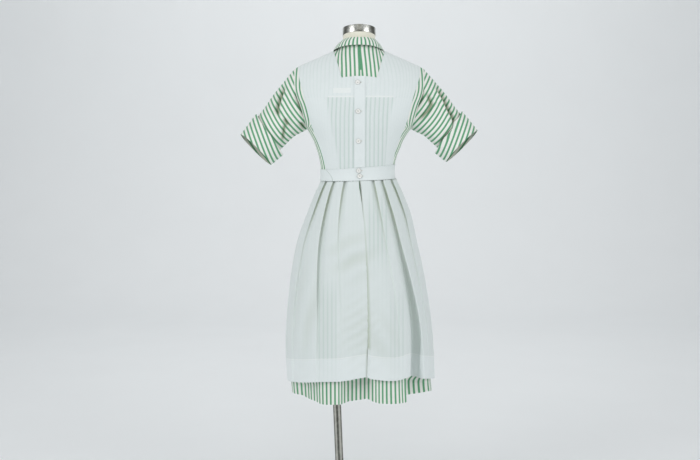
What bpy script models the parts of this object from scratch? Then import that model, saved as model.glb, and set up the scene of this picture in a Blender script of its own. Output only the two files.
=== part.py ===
"""Nurse uniform on a dress form: a striped shirtwaist dress under a white pinafore apron, on a stand.

Metres, +Z up. The garment's back faces -Y and its front faces +Y. Left and right are as seen from the back.
The origin is the middle of the base's underside, on the floor.
"""

import math

import bmesh
import bpy
from mathutils import Vector
from mathutils.bvhtree import BVHTree

# Cloth layers, as distances outwards from the dress's inner face
SEAM_GAP = 0.0003
DRESS_INNER = 0.0
DRESS_OUTER = 0.0011
APRON_INNER = 0.0016
APRON_OUTER = 0.0027
BAND_OUTER = 0.0037
PLACKET_INNER = 0.0031
PLACKET_OUTER = 0.0041
CUFF_INNER = 0.0015
CUFF_OUTER = 0.0031
FORM_CLEARANCE = 0.0005
FORM_EASE = 0.0045

# Heights of the seams
WAIST = 1.034
BAND_BOTTOM = 1.0142
BAND_TOP = 1.0537
BAND_TILT_TOP = 0.072
BAND_TILT_BOTTOM = 0.030
DRESS_HEM = 0.3715
APRON_HEM = 0.443
APRON_HEM_SIDE_DROP = 0.030
ARMPIT = 1.167

# The shoulder line, from the side of the neck to the sleeve seam
NECK_POINT_X = 0.062
NECK_POINT_Z = 1.399
SHOULDER_TIP_X = 0.190
SHOULDER_TIP_Z = 1.343
BACK_NECK_Z = 1.412
FRONT_NECK_Z = 1.345
RIDGE_RISE = 0.050
ROUNDING_START = 1.21
ROUNDING_POWER = 2.2
SECTION_POWER = 2.3

# The body's section at each height: its half width, and how far back and front stand from the side line
TORSO_COLUMNS = ("height", "half_width", "back", "front")
TORSO = (
    (1.000, 0.1160, 0.0890, 0.0930),
    (BAND_BOTTOM, 0.1100, 0.0850, 0.0890),
    (WAIST, 0.1085, 0.0830, 0.0880),
    (BAND_TOP, 0.1090, 0.0850, 0.0915),
    (1.085, 0.1160, 0.0895, 0.0990),
    (1.109, 0.1245, 0.0935, 0.1060),
    (1.132, 0.1335, 0.0975, 0.1130),
    (1.156, 0.1470, 0.1020, 0.1190),
    (ARMPIT, 0.1550, 0.1040, 0.1210),
    (1.200, 0.1790, 0.1070, 0.1220),
    (1.236, 0.1960, 0.1080, 0.1170),
    (1.270, 0.2090, 0.1070, 0.1110),
    (1.310, 0.2140, 0.1020, 0.1020),
    (1.350, 0.2140, 0.0980, 0.0940),
    (1.420, 0.2140, 0.0960, 0.0880),
)

# Where the side seam and the armhole run, seen from the back
ARMHOLE_COLUMNS = ("height", "x")
ARMHOLE = (
    (ARMPIT, 0.1550),
    (1.182, 0.1580),
    (1.200, 0.1630),
    (1.236, 0.1740),
    (1.258, 0.1830),
    (1.281, 0.1890),
    (1.310, 0.1905),
    (SHOULDER_TIP_Z, SHOULDER_TIP_X),
)

# The apron's outer edge, the side of its neckline and the column through the dress's neck point
APRON_EDGE_COLUMNS = ("height", "edge_x")
APRON_EDGE = (
    (WAIST, 0.1050),
    (1.085, 0.1120),
    (1.132, 0.1230),
    (1.167, 0.1360),
    (1.192, 0.1450),
    (1.260, 0.1610),
    (1.310, 0.1740),
    (1.350, 0.1800),
)
NECK_SIDE_COLUMNS = ("height", "back_x", "front_x")
NECK_SIDE = (
    (WAIST, 0.0420, 0.0480),
    (1.200, 0.0470, 0.0560),
    (1.262, 0.0490, 0.0590),
    (1.3126, 0.0505, 0.0595),
    (1.350, 0.0600, 0.0600),
    (1.3935, 0.0750, 0.0750),
)
NECK_COLUMN_COLUMNS = ("height", "x")
NECK_COLUMN = (
    (WAIST, 0.0330),
    (1.200, 0.0370),
    (1.3126, 0.0440),
    (NECK_POINT_Z, NECK_POINT_X),
)

# Cells of the body net between those columns, and its rows from the band's top to the neck and shoulder
CELLS_TO_NECK_POINT = 4
CELLS_TO_NECK_SIDE = 1
CELLS_TO_APRON_EDGE = 3
CELLS_TO_SIDE = 2
ARMPIT_ROW_SHARE = (ARMPIT - BAND_TOP) / (SHOULDER_TIP_Z - BAND_TOP)
ROW_SHARES = (0.0, 0.20, ARMPIT_ROW_SHARE, 0.50, 0.60, 0.69, 0.775, 0.848, 0.91, 0.955, 0.985, 1.0)
NECK_CLIMB_POWER = 10
APRON_BACK_NECK_ROW = 7
APRON_BIB_TOP_ROW = 5

# Bust fullness on the front
BUST_X = 0.078
BUST_Z = 1.190
BUST_SPREAD = 0.050
BUST_DEPTH = 0.010

# Sleeves: the middle of each opening, its half width across and its half depth
SLEEVE_COLUMNS = ("side", "end_x", "end_z", "half_width", "half_depth", "slope_deg")
SLEEVES = (
    ("left", -0.3080, 1.1035, 0.0610, 0.0470, 45.0),
    ("right", 0.3070, 1.1140, 0.0630, 0.0470, 45.0),
)
SLEEVE_RINGS = (0.0, 0.16, 0.34, 0.52, 0.70, 0.85, 1.0)
CUFF_FIRST_RING = 4
SLEEVE_TOP_BULGE = 0.001
SLEEVE_OPENING_LEAN = 0.010

# The collar at stations from the centre back to the centre front
COLLAR_CLOTH = 0.0011
COLLAR_FOLD_GAP = 0.0030
COLLAR_LIFT = 0.0040
COLLAR_COLUMNS = ("station", "fold_x", "fold_y", "fold_z", "edge_x", "edge_y", "edge_z")
COLLAR = (
    (0.00, 0.0000, -0.0605, 1.4310, 0.0000, -0.0745, 1.4085),
    (0.25, 0.0225, -0.0560, 1.4310, 0.0330, -0.0700, 1.4065),
    (0.50, 0.0395, -0.0410, 1.4300, 0.0580, -0.0520, 1.4020),
    (0.75, 0.0500, -0.0210, 1.4280, 0.0715, -0.0270, 1.3985),
    (1.00, 0.0530, 0.0010, 1.4255, 0.0765, 0.0010, 1.3975),
    (1.25, 0.0520, 0.0240, 1.4150, 0.0800, 0.0375, 1.3870),
    (1.50, 0.0462, 0.0480, 1.3965, 0.0780, 0.0690, 1.3610),
    (1.75, 0.0305, 0.0675, 1.3750, 0.0660, 0.0930, 1.3170),
    (2.00, 0.0060, 0.0830, 1.3540, 0.0180, 0.0905, 1.3280),
)

# The apron's skirt at each height, and the dress's skirt under it
APRON_SKIRT_COLUMNS = ("height", "half_width", "back", "front")
APRON_SKIRT = (
    (1.0400, 0.1120, 0.0865, 0.0905),
    (BAND_BOTTOM, 0.1130, 0.0875, 0.0915),
    (0.989, 0.1250, 0.0985, 0.1010),
    (0.965, 0.1355, 0.1080, 0.1090),
    (0.917, 0.1545, 0.1260, 0.1240),
    (0.868, 0.1700, 0.1400, 0.1370),
    (0.820, 0.1825, 0.1510, 0.1470),
    (0.771, 0.1930, 0.1600, 0.1550),
    (0.722, 0.2020, 0.1670, 0.1620),
    (0.624, 0.2155, 0.1770, 0.1720),
    (0.526, 0.2235, 0.1840, 0.1790),
    (0.400, 0.2245, 0.1870, 0.1830),
)
DRESS_SKIRT_COLUMNS = ("height", "half_width", "back", "front")
DRESS_SKIRT = (
    (1.0400, 0.1069, 0.0811, 0.0861),
    (WAIST, 0.1069, 0.0811, 0.0861),
    (1.0080, 0.1090, 0.0838, 0.0878),
    (0.989, 0.1180, 0.0920, 0.0945),
    (0.917, 0.1480, 0.1195, 0.1175),
    (0.820, 0.1750, 0.1440, 0.1400),
    (0.722, 0.1920, 0.1570, 0.1520),
    (0.624, 0.2040, 0.1660, 0.1610),
    (0.526, 0.2100, 0.1710, 0.1660),
    (DRESS_HEM, 0.2130, 0.1750, 0.1700),
)
UNDER_APRON = 0.0046
UNDER_APRON_WINDOW = (-4.0, -2.0, 0.0, 2.0, 4.0)
SKIRT_POWER = 2.3

# Pleats of the apron. An edge is where the upper cloth ends, and the recess lies on its side nearer the middle.
# Angles are in degrees from the centre back, towards the right. The widths are the recess's.
PLEAT_COLUMNS = ("edge_top", "edge_hem", "width_top", "width_hem", "depth_top", "depth_mid", "depth_hem")
PLEATS = (
    (20.0, 30.0, 9.0, 10.0, 0.0035, 0.0085, 0.0010),
    (38.5, 54.0, 9.0, 18.0, 0.0035, 0.0140, 0.0480),
    (63.0, 72.0, 9.0, 12.0, 0.0035, 0.0110, 0.0060),
    (-19.0, -14.0, 9.0, 10.0, 0.0035, 0.0085, 0.0010),
    (-38.0, -31.0, 9.0, 12.0, 0.0035, 0.0140, 0.0090),
    (-58.0, -62.0, 9.0, 14.0, 0.0035, 0.0120, 0.0130),
    (152.0, 146.0, 9.0, 16.0, 0.0035, 0.0120, 0.0220),
    (133.0, 122.0, 9.0, 15.0, 0.0035, 0.0120, 0.0260),
    (112.0, 102.0, 9.0, 12.0, 0.0035, 0.0100, 0.0080),
    (-152.0, -148.0, 9.0, 15.0, 0.0035, 0.0120, 0.0200),
    (-133.0, -125.0, 9.0, 15.0, 0.0035, 0.0120, 0.0240),
    (-112.0, -104.0, 9.0, 12.0, 0.0035, 0.0100, 0.0080),
)
PLEAT_MID = 0.30
PLEAT_SHAPE_COLUMNS = ("across", "depth")
PLEAT_SHAPE = ((-1.0, 0.0), (-0.14, 1.0), (0.0, -0.12), (0.5, -0.10), (1.1, 0.0))
PLEAT_SAMPLES = (-1.0, -0.14, 0.0, 0.5)

# The apron's back opening: how far each edge lies from its middle line, going down
OPENING_COLUMNS = ("down", "middle_deg", "half_gap", "left_tuck")
OPENING = (
    (0.00, 0.6, 0.0016, 0.000),
    (0.03, 1.0, 0.0032, 0.000),
    (0.08, 1.6, 0.0012, 0.000),
    (0.25, 2.4, 0.0007, 0.001),
    (0.60, 3.0, 0.0007, 0.003),
    (0.85, 3.2, 0.0010, 0.012),
    (1.00, 3.0, 0.0022, 0.026),
)
TUCK_SPREAD_DEG = 17.0

# Flares of the dress's hem: the angle and reach of each hollow, and how deep it is at the hem
FLARE_COLUMNS = ("from_deg", "floor_from", "floor_to", "to_deg", "depth_hem")
FLARES = (
    (-13.0, -6.0, 5.0, 9.0, 0.042),
    (34.0, 38.0, 56.0, 76.0, 0.046),
    (-74.0, -58.0, -50.0, -34.0, 0.024),
    (104.0, 116.0, 124.0, 136.0, 0.030),
    (-136.0, -124.0, -116.0, -104.0, 0.030),
    (168.0, 176.0, 184.0, 192.0, 0.030),
)
FLARE_START = 0.5
FLARE_FULL = 1.9

APRON_ROWS = (0.0, 0.045, 0.12, 0.26, 0.46, 0.72, 1.0)
DRESS_ROWS = (-1.0, *APRON_ROWS, 1.5, 2.0)
SIDE_SEAM_DEG = 90.0

# Buttons on the apron's placket and waistband, and on the dress's front
BUTTON_COLUMNS = ("name", "x", "height", "under")
BAND_BACKS = ("apron_band_back_left", "apron_band_back_right")
DRESS_FRONTS = ("dress_front_left", "dress_front_right")
APRON_BUTTONS = (
    ("apron_button_1", -0.0020, 1.2990, ("apron_placket",)),
    ("apron_button_2", -0.0015, 1.2160, ("apron_placket",)),
    ("apron_button_3", -0.0005, 1.1305, ("apron_placket",)),
    ("apron_button_4", 0.0000, 1.0445, BAND_BACKS),
    ("apron_button_5", 0.0020, 1.0285, BAND_BACKS),
)
DRESS_BUTTONS = (
    ("dress_button_1", 0.0, 1.3220, DRESS_FRONTS),
    ("dress_button_2", 0.0, 1.2700, DRESS_FRONTS),
)
BUTTON_RADIUS = 0.0072
BUTTON_THICKNESS = 0.0026
BUTTON_DISH = 0.0008
BUTTON_SIDES = 12

# Placket strip down the apron's back
PLACKET_LEFT = -0.0155
PLACKET_RIGHT = 0.0175

# Dress form and stand
HIPS_COLUMNS = ("height", "half_width", "back", "front")
HIPS = (
    (WAIST, 0.1070, 0.0812, 0.0862),
    (1.012, 0.1010, 0.0760, 0.0800),
    (0.985, 0.1025, 0.0785, 0.0815),
    (0.950, 0.1100, 0.0865, 0.0875),
    (0.900, 0.1190, 0.0940, 0.0930),
    (0.850, 0.1230, 0.0970, 0.0950),
    (0.800, 0.1210, 0.0940, 0.0930),
    (0.780, 0.1160, 0.0890, 0.0890),
)
FORM_BOTTOM = 0.780
NECK_RINGS_COLUMNS = ("height", "half_width", "half_depth", "middle_y", "lean")
NECK_RINGS = (
    (1.4130, 0.0495, 0.0490, -0.0040, 0.10),
    (1.4270, 0.0480, 0.0480, -0.0020, 0.18),
    (1.4385, 0.0478, 0.0480, 0.0000, 0.21),
)
CAP_HEIGHT = 0.0225
CAP_RADIUS = 0.0490
CAP_DOME = 0.0020
POLE_RADIUS = 0.0125
POLE_FOOT_X = -0.0540
POLE_TOP_X = -0.0850
POLE_SIDES = 20
BASE_RADIUS = 0.170
BASE_THICKNESS = 0.008
BASE_CHAMFER = 0.002
BASE_SIDES = 48
HUB_RADIUS = 0.023
HUB_HEIGHT = 0.026

COLOURS = {
    "striped_cotton": (0.42, 0.66, 0.52, 1.0),
    "white_lawn": (0.86, 0.89, 0.89, 1.0),
    "button_shell": (0.90, 0.90, 0.86, 1.0),
    "form_canvas": (0.80, 0.78, 0.70, 1.0),
    "chrome": (0.75, 0.75, 0.72, 1.0),
}


def clear_scene():
    for obj in list(bpy.data.objects):
        bpy.data.objects.remove(obj)


def material(name):
    found = bpy.data.materials.get(name)
    if found:
        return found
    made = bpy.data.materials.new(name)
    made.use_nodes = True
    shader = made.node_tree.nodes["Principled BSDF"]
    shader.inputs["Base Color"].default_value = COLOURS[name]
    shader.inputs["Metallic"].default_value = 1.0 if name == "chrome" else 0.0
    shader.inputs["Roughness"].default_value = 0.15 if name == "chrome" else 0.8
    return made


def smooth(share):
    share = min(1.0, max(0.0, share))
    return share * share * (3.0 - 2.0 * share)


def read(table, names, column, at):
    """A column of a table at a value of its first column, on a smooth curve through the rows."""
    rows = sorted(table)
    index = names.index(column)
    keys = [row[0] for row in rows]
    values = [row[index] for row in rows]
    if at <= keys[0]:
        return values[0]
    if at >= keys[-1]:
        return values[-1]
    i = max(k for k in range(len(keys) - 1) if keys[k] <= at)
    span = keys[i + 1] - keys[i]
    share = (at - keys[i]) / span
    before = max(0, i - 1)
    after = min(len(keys) - 1, i + 2)
    slope_in = (values[i + 1] - values[before]) / (keys[i + 1] - keys[before]) * span
    slope_out = (values[after] - values[i]) / (keys[after] - keys[i]) * span
    square, cube = share**2, share**3
    return (
        (2 * cube - 3 * square + 1) * values[i]
        + (cube - 2 * square + share) * slope_in
        + (3 * square - 2 * cube) * values[i + 1]
        + (cube - square) * slope_out
    )


def read_straight(table, names, column, at):
    """A column of a table with straight runs between its rows."""
    index = names.index(column)
    if at <= table[0][0]:
        return table[0][index]
    for low, high in zip(table, table[1:]):
        if at <= high[0]:
            share = (at - low[0]) / (high[0] - low[0])
            return low[index] + (high[index] - low[index]) * share
    return table[-1][index]


# The body

def ridge_height(x):
    """Height of the shoulder ridge, which climbs on towards the middle to leave the neckline open."""
    x = abs(x)
    if x >= NECK_POINT_X:
        slope = (SHOULDER_TIP_Z - NECK_POINT_Z) / (SHOULDER_TIP_X - NECK_POINT_X)
        return NECK_POINT_Z + slope * (x - NECK_POINT_X)
    return NECK_POINT_Z + RIDGE_RISE * (1.0 - (x / NECK_POINT_X) ** 2)


def body_depth(face, x, z):
    """How far the body's surface stands from the side line, at a place seen from the back or front."""
    half_width = read(TORSO, TORSO_COLUMNS, "half_width", z)
    depth = read(TORSO, TORSO_COLUMNS, face, z)
    across = min(1.0, abs(x) / half_width)
    depth *= (1.0 - across**SECTION_POWER) ** (1.0 / SECTION_POWER)
    if z > ROUNDING_START:
        up = min(1.0, (z - ROUNDING_START) / (ridge_height(x) - ROUNDING_START))
        depth *= (1.0 - up**ROUNDING_POWER) ** (1.0 / ROUNDING_POWER)
    if face == "front":
        away = ((abs(x) - BUST_X) ** 2 + (z - BUST_Z) ** 2) / BUST_SPREAD**2
        depth += BUST_DEPTH * math.exp(-away) * smooth(depth / 0.05)
    return depth


def body_point(face, side, x, z):
    depth = body_depth(face, x, z)
    return Vector((side * x, -depth if face == "back" else depth, z))


def side_x(z):
    if z <= ARMPIT:
        return read(TORSO, TORSO_COLUMNS, "half_width", z)
    return read(ARMHOLE, ARMHOLE_COLUMNS, "x", z)


def net_columns():
    """Each column of the net as the two key columns it lies between and its share of the way."""
    columns = [("centre", "neck_point", 0.0)]
    spans = (
        ("centre", "neck_point", CELLS_TO_NECK_POINT),
        ("neck_point", "neck_side", CELLS_TO_NECK_SIDE),
        ("neck_side", "apron_edge", CELLS_TO_APRON_EDGE),
        ("apron_edge", "side", CELLS_TO_SIDE),
    )
    for low, high, cells in spans:
        columns += [(low, high, (i + 1) / cells) for i in range(cells)]
    return columns


def key_x(key, face, z):
    if key == "centre":
        return 0.0
    if key == "neck_point":
        return read(NECK_COLUMN, NECK_COLUMN_COLUMNS, "x", z)
    if key == "neck_side":
        return read_straight(NECK_SIDE, NECK_SIDE_COLUMNS, face + "_x", z)
    if key == "apron_edge":
        return min(read(APRON_EDGE, APRON_EDGE_COLUMNS, "edge_x", z), side_x(z) - 0.001)
    return side_x(z)


def column_x(column, face, z):
    """Where a column crosses a height, spaced by angle round the section."""
    low, high, share = column
    half_width = read(TORSO, TORSO_COLUMNS, "half_width", z)
    angles = [math.asin(min(1.0, key_x(key, face, z) / half_width)) for key in (low, high)]
    return half_width * math.sin(angles[0] + (angles[1] - angles[0]) * share)


def column_top(column, face):
    """Height at which a column meets the neckline or the shoulder line."""
    low, _, share = column
    if low == "centre":
        middle = BACK_NECK_Z if face == "back" else FRONT_NECK_Z
        return middle + (NECK_POINT_Z - middle) * share**2
    z = NECK_POINT_Z
    for _ in range(8):
        z = ridge_height(column_x(column, face, z))
    return z


def band_tilt(share):
    """How much the band's slanting top still slants the rows above it, up to the armpit."""
    return BAND_TILT_TOP * max(0.0, 1.0 - share / ARMPIT_ROW_SHARE) ** 2


def row_height(column, face, side, row):
    """Rows 0 to 2 are the band's bottom, the waist and the band's top. The rest climb to the shoulder."""
    if row == 1:
        return WAIST
    tilt_x = side * column_x(column, face, WAIST)
    if row == 0:
        return BAND_BOTTOM + BAND_TILT_BOTTOM * tilt_x
    share = ROW_SHARES[row - 2]
    low = BAND_TOP + band_tilt(share) * tilt_x
    climb = (column_top(column, face) - SHOULDER_TIP_Z) * share**NECK_CLIMB_POWER
    return low + (SHOULDER_TIP_Z - BAND_TOP) * share + climb


class Net:
    """Points of one surface with the cells between them, welded where patches meet."""

    def __init__(self):
        self.points = []
        self.index = {}
        self.cells = {}

    def add(self, point):
        key = tuple(round(value, 6) for value in point)
        if key not in self.index:
            self.index[key] = len(self.points)
            self.points.append(Vector(point))
        return self.index[key]

    def add_grid(self, name, grid):
        """grid is rows of points; each cell is kept with its row and column."""
        ids = [[self.add(point) for point in row] for row in grid]
        for r in range(len(ids) - 1):
            for c in range(len(ids[r]) - 1):
                corners = (ids[r][c], ids[r][c + 1], ids[r + 1][c + 1], ids[r + 1][c])
                self.cells[(name, r, c)] = corners
        return ids

    def chosen(self, *tests):
        """Cells whose name, row and column pass any of the tests."""
        return [ids for key, ids in self.cells.items() if any(test(*key) for test in tests)]

    def normals(self, probe):
        """Outward direction at each point. probe is one cell's key and a vector that its outer side faces."""
        key, towards = probe
        mesh = bmesh.new()
        verts = [mesh.verts.new(point) for point in self.points]
        faces = {}
        for cell, corners in self.cells.items():
            ring = list(dict.fromkeys(corners))
            if len(ring) > 2:
                faces[cell] = mesh.faces.new([verts[i] for i in ring])
        bmesh.ops.recalc_face_normals(mesh, faces=mesh.faces)
        mesh.normal_update()
        sign = 1.0 if faces[key].normal.dot(Vector(towards)) > 0 else -1.0
        found = [sign * vert.normal for vert in verts]
        mesh.free()
        return found


def torso_grid(face, side):
    columns = net_columns()
    rows = []
    for row in range(len(ROW_SHARES) + 2):
        points = []
        for column in columns:
            z = row_height(column, face, side, row)
            x = column_x(column, face, z)
            points.append(body_point(face, side, x, z))
        rows.append(points)
    return rows


def sleeve_axes(slope_deg, side):
    slope = math.radians(slope_deg)
    across = Vector((side * math.sin(slope), 0.0, math.cos(slope)))
    return across, Vector((0.0, -1.0, 0.0))


def sleeve_grid(armhole, row, side):
    """Rings of points from the armhole to the opening; the loop starts and ends at the armpit."""
    _, end_x, end_z, half_width, half_depth, slope_deg = row
    across, back = sleeve_axes(slope_deg, side)
    outward = Vector((across.z * side, 0.0, -abs(across.x)))
    lengths = [0.0]
    for low, high in zip(armhole, armhole[1:]):
        lengths.append(lengths[-1] + (high - low).length)
    middle = Vector((end_x, 0.0, end_z))
    rings = []
    for down in SLEEVE_RINGS:
        ring = []
        for start, length in zip(armhole, lengths):
            angle = math.pi - 2.0 * math.pi * length / lengths[-1]
            rise, turn = math.cos(angle), math.sin(angle)
            end = middle + across * (rise * half_width) + back * (turn * half_depth)
            end -= outward * (SLEEVE_OPENING_LEAN * turn)
            point = start.lerp(end, down)
            point += across * (SLEEVE_TOP_BULGE * 4.0 * down * (1.0 - down) * max(0.0, rise))
            ring.append(point)
        ring[-1] = ring[0]
        rings.append(ring)
    return rings


def dress_net():
    """The dress's inner surface from waist to neck, with both sleeves."""
    net = Net()
    armpit_row = 2 + ROW_SHARES.index(ARMPIT_ROW_SHARE)
    for side_name, side in (("left", -1), ("right", 1)):
        grids = {}
        for face in ("back", "front"):
            grids[face] = torso_grid(face, side)
            net.add_grid(f"{face}_{side_name}", grids[face])
        up_the_back = [row[-1] for row in grids["back"][armpit_row:]]
        down_the_front = [row[-1] for row in grids["front"][armpit_row:]][::-1]
        armhole = up_the_back + down_the_front[1:]
        sleeve = next(row for row in SLEEVES if row[0] == side_name)
        net.add_grid(f"sleeve_{side_name}", sleeve_grid(armhole, sleeve, side))
    return net


# Solids

def finish(name, mesh, finish_name, parent):
    bmesh.ops.recalc_face_normals(mesh, faces=mesh.faces)
    data = bpy.data.meshes.new(name)
    mesh.to_mesh(data)
    mesh.free()
    data.materials.append(material(finish_name))
    data.shade_smooth()
    data.set_sharp_from_angle(angle=math.radians(40.0))
    obj = bpy.data.objects.new(name, data)
    bpy.context.scene.collection.objects.link(obj)
    obj.parent = parent
    return obj


def triangles(points, cells):
    """Cells cut along their shorter diagonal, so that layers of one net have the same faces."""
    found = []
    for corners in cells:
        ring = list(dict.fromkeys(corners))
        if len(ring) == 3:
            found.append(ring)
        elif len(ring) == 4:
            a, b, c, d = ring
            if (points[a] - points[c]).length <= (points[b] - points[d]).length:
                found += [[a, b, c], [a, c, d]]
            else:
                found += [[a, b, d], [b, c, d]]
    return found


def draw_in(points, rim):
    """How far each point of an edge moves inwards, so that each side of the piece moves half a seam gap."""
    facing = {}
    for a, b, c in rim:
        along = (points[b] - points[a]).normalized()
        inwards = points[c] - points[a]
        inwards = (inwards - along * inwards.dot(along)).normalized()
        facing.setdefault(a, []).append(inwards)
        facing.setdefault(b, []).append(inwards)
    moved = {}
    for i, sides in facing.items():
        total = sum(sides, Vector())
        share = max(0.4, 1.0 + sides[0].dot(sides[-1]))
        moved[i] = total * (SEAM_GAP * 0.55 / share)
    return moved


def wall(name, points, normals, cells, inner, outer, finish_name, parent):
    """A closed cloth wall over some cells, drawn in by half a seam gap at its edges."""
    cells = triangles(points, cells)
    uses = {}
    for corners in cells:
        for a, b, c in zip(corners, corners[1:] + corners[:1], corners[2:] + corners[:2]):
            uses.setdefault(frozenset((a, b)), []).append((a, b, c))
    rim = [edges[0] for edges in uses.values() if len(edges) == 1]
    drawn_in = draw_in(points, rim)
    mesh = bmesh.new()
    layers = {}
    for i in {i for corners in cells for i in corners}:
        place = points[i].copy()
        if i in drawn_in:
            place += drawn_in[i]
        layers[i] = [mesh.verts.new(place + normals[i] * distance) for distance in (inner, outer)]
    for corners in cells:
        mesh.faces.new([layers[i][1] for i in corners])
        mesh.faces.new([layers[i][0] for i in reversed(corners)])
    for a, b, _ in rim:
        mesh.faces.new([layers[a][0], layers[b][0], layers[b][1], layers[a][1]])
    return finish(name, mesh, finish_name, parent)


def in_rows(name, first, last, columns=None):
    """A test for the cells of a patch between two rows, and between two columns where they are given."""
    low, high = columns or (0, 10**6)
    return lambda patch, r, c: patch == name and first <= r < last and low <= c < high


def build_bodice(net, normals, parent):
    """The dress's fronts, backs, sleeves and cuffs."""
    top = len(ROW_SHARES) + 1
    dress = (DRESS_INNER, DRESS_OUTER, "striped_cotton")
    cuff = (CUFF_INNER, CUFF_OUTER, "striped_cotton")
    for face in ("back", "front"):
        for side_name in ("left", "right"):
            patch = f"{face}_{side_name}"
            cells = net.chosen(in_rows(patch, 1, top))
            wall(f"dress_{patch}", net.points, normals, cells, *dress, parent)
    rings = len(SLEEVE_RINGS) - 1
    for side_name in ("left", "right"):
        patch = f"sleeve_{side_name}"
        cells = net.chosen(in_rows(patch, 0, rings))
        wall(f"dress_{patch}", net.points, normals, cells, *dress, parent)
        cells = net.chosen(in_rows(patch, CUFF_FIRST_RING, rings))
        wall(f"dress_cuff_{side_name}", net.points, normals, cells, *cuff, parent)


def build_apron_top(net, normals, parent):
    """The apron's two backs, its bib, its waistband in three pieces and its placket."""
    top = len(ROW_SHARES) + 1
    neck_side = CELLS_TO_NECK_POINT + CELLS_TO_NECK_SIDE
    edge = neck_side + CELLS_TO_APRON_EDGE
    all_columns = edge + CELLS_TO_SIDE
    apron = (APRON_INNER, APRON_OUTER, "white_lawn")
    band = (APRON_INNER, BAND_OUTER, "white_lawn")
    for side_name in ("left", "right"):
        patch = f"back_{side_name}"
        cells = net.chosen(
            in_rows(patch, 2, 2 + APRON_BACK_NECK_ROW, (0, neck_side)),
            in_rows(patch, 2, top, (neck_side, edge)),
        )
        wall(f"apron_{patch}", net.points, normals, cells, *apron, parent)
        cells = net.chosen(in_rows(patch, 0, 2, (0, all_columns)))
        wall(f"apron_band_{patch}", net.points, normals, cells, *band, parent)
    tests = []
    for patch in ("front_left", "front_right"):
        tests.append(in_rows(patch, 2, 2 + APRON_BIB_TOP_ROW, (0, neck_side)))
        tests.append(in_rows(patch, 2, top, (neck_side, edge)))
    wall("apron_bib", net.points, normals, net.chosen(*tests), *apron, parent)
    cells = net.chosen(in_rows("front_left", 0, 2), in_rows("front_right", 0, 2))
    wall("apron_band_front", net.points, normals, cells, *band, parent)


def build_placket(parent):
    """The strip that the buttons of the apron's back are sewn through, over both backs."""
    top_column = ("centre", "neck_point", 0.0)
    net = Net()
    grid = []
    for r in range(APRON_BACK_NECK_ROW + 1):
        z = row_height(top_column, "back", 1, 2 + r)
        tilt = band_tilt(ROW_SHARES[r])
        low = SEAM_GAP if r == 0 else 0.0
        places = (PLACKET_LEFT, 0.0, PLACKET_RIGHT)
        grid.append([body_point("back", 1, x, z + tilt * x + low) for x in places])
    net.add_grid("placket", grid)
    normals = net.normals((("placket", 0, 0), (0.0, -1.0, 0.0)))
    cells = list(net.cells.values())
    wall("apron_placket", net.points, normals, cells, PLACKET_INNER, PLACKET_OUTER, "white_lawn", parent)


def sheet_solid(name, rows, thickness, finish_name, parent, outward):
    """A closed wall over a grid of points, thickened towards its outer side."""
    net = Net()
    net.add_grid("sheet", rows)
    normals = net.normals((("sheet", 0, 0), outward))
    cells = list(net.cells.values())
    return wall(name, net.points, normals, cells, 0.0, thickness, finish_name, parent)


def neckline(net_face, side, share):
    """A point of the dress's neckline; share runs from the centre to the neck point."""
    column = ("centre", "neck_point", share)
    z = column_top(column, net_face)
    return body_point(net_face, side, column_x(column, net_face, z), z)


def tree_of(names):
    """The surfaces of some finished solids, for finding places on them."""
    points, faces = [], []
    for name in names:
        data = bpy.data.objects[name].data
        start = len(points)
        points += [vert.co.copy() for vert in data.vertices]
        faces += [[start + i for i in face.vertices] for face in data.polygons]
    return BVHTree.FromPolygons(points, faces)


def lifted(point, tree, gap):
    """The point, moved out until it stands at least the gap off a surface."""
    place, normal, _, _ = tree.find_nearest(point)
    if (point - place).dot(normal) >= gap:
        return point
    return place + normal * gap


def body_tree(net, normals):
    """The dress's inner surface with its faces turned outwards."""
    cells = net.chosen(lambda patch, r, c: not patch.startswith("sleeve") and r >= 1)
    faces = []
    for a, b, c in triangles(net.points, cells):
        facing = (net.points[b] - net.points[a]).cross(net.points[c] - net.points[a])
        outwards = normals[a] + normals[b] + normals[c]
        faces.append([a, b, c] if facing.dot(outwards) > 0.0 else [a, c, b])
    return BVHTree.FromPolygons(net.points, faces)


def build_collar(net, normals, parent):
    """A stand from the neckline to the fold, and a fall from the fold out over the shoulders."""
    body = body_tree(net, normals)
    form = tree_of(("form_torso",))
    rows = []
    steps = 2 * CELLS_TO_NECK_POINT
    for step in range(-steps, steps + 1):
        station = 2.0 * abs(step) / steps
        side = -1 if step < 0 else 1
        if station <= 1.0:
            base = neckline("back", side, station)
        else:
            base = neckline("front", side, 2.0 - station)
        values = [read(COLLAR, COLLAR_COLUMNS, name, station) for name in COLLAR_COLUMNS[1:]]
        fold = Vector((side * values[0], values[1], values[2]))
        edge = Vector((side * values[3], values[4], values[5]))
        if station == 2.0:
            base.x = fold.x
        outwards = (edge - fold) * Vector((1.0, 1.0, 0.0))
        outwards = outwards.normalized()
        near = normals[min(range(len(net.points)), key=lambda i: (net.points[i] - base).length)]
        foot = base + near * DRESS_OUTER + Vector((0.0, 0.0, SEAM_GAP * 1.2))
        over = fold + outwards * COLLAR_FOLD_GAP
        apex = (fold + over) / 2.0 + Vector((0.0, 0.0, 0.0012))
        bow = (over + edge) / 2.0 + Vector((0.0, 0.0, 0.0025)) + outwards * 0.0015
        off_form = COLLAR_CLOTH + 0.0014
        stand = [lifted(point, form, off_form) for point in (foot, foot.lerp(fold, 0.5), fold)]
        fall = [lifted(point, body, COLLAR_LIFT) for point in (over, bow, edge)]
        rows.append(stand + [apex] + fall)
    sheet_solid("dress_collar", rows, COLLAR_CLOTH, "striped_cotton", parent, (0.0, 0.0, 1.0))


# Skirts

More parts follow.
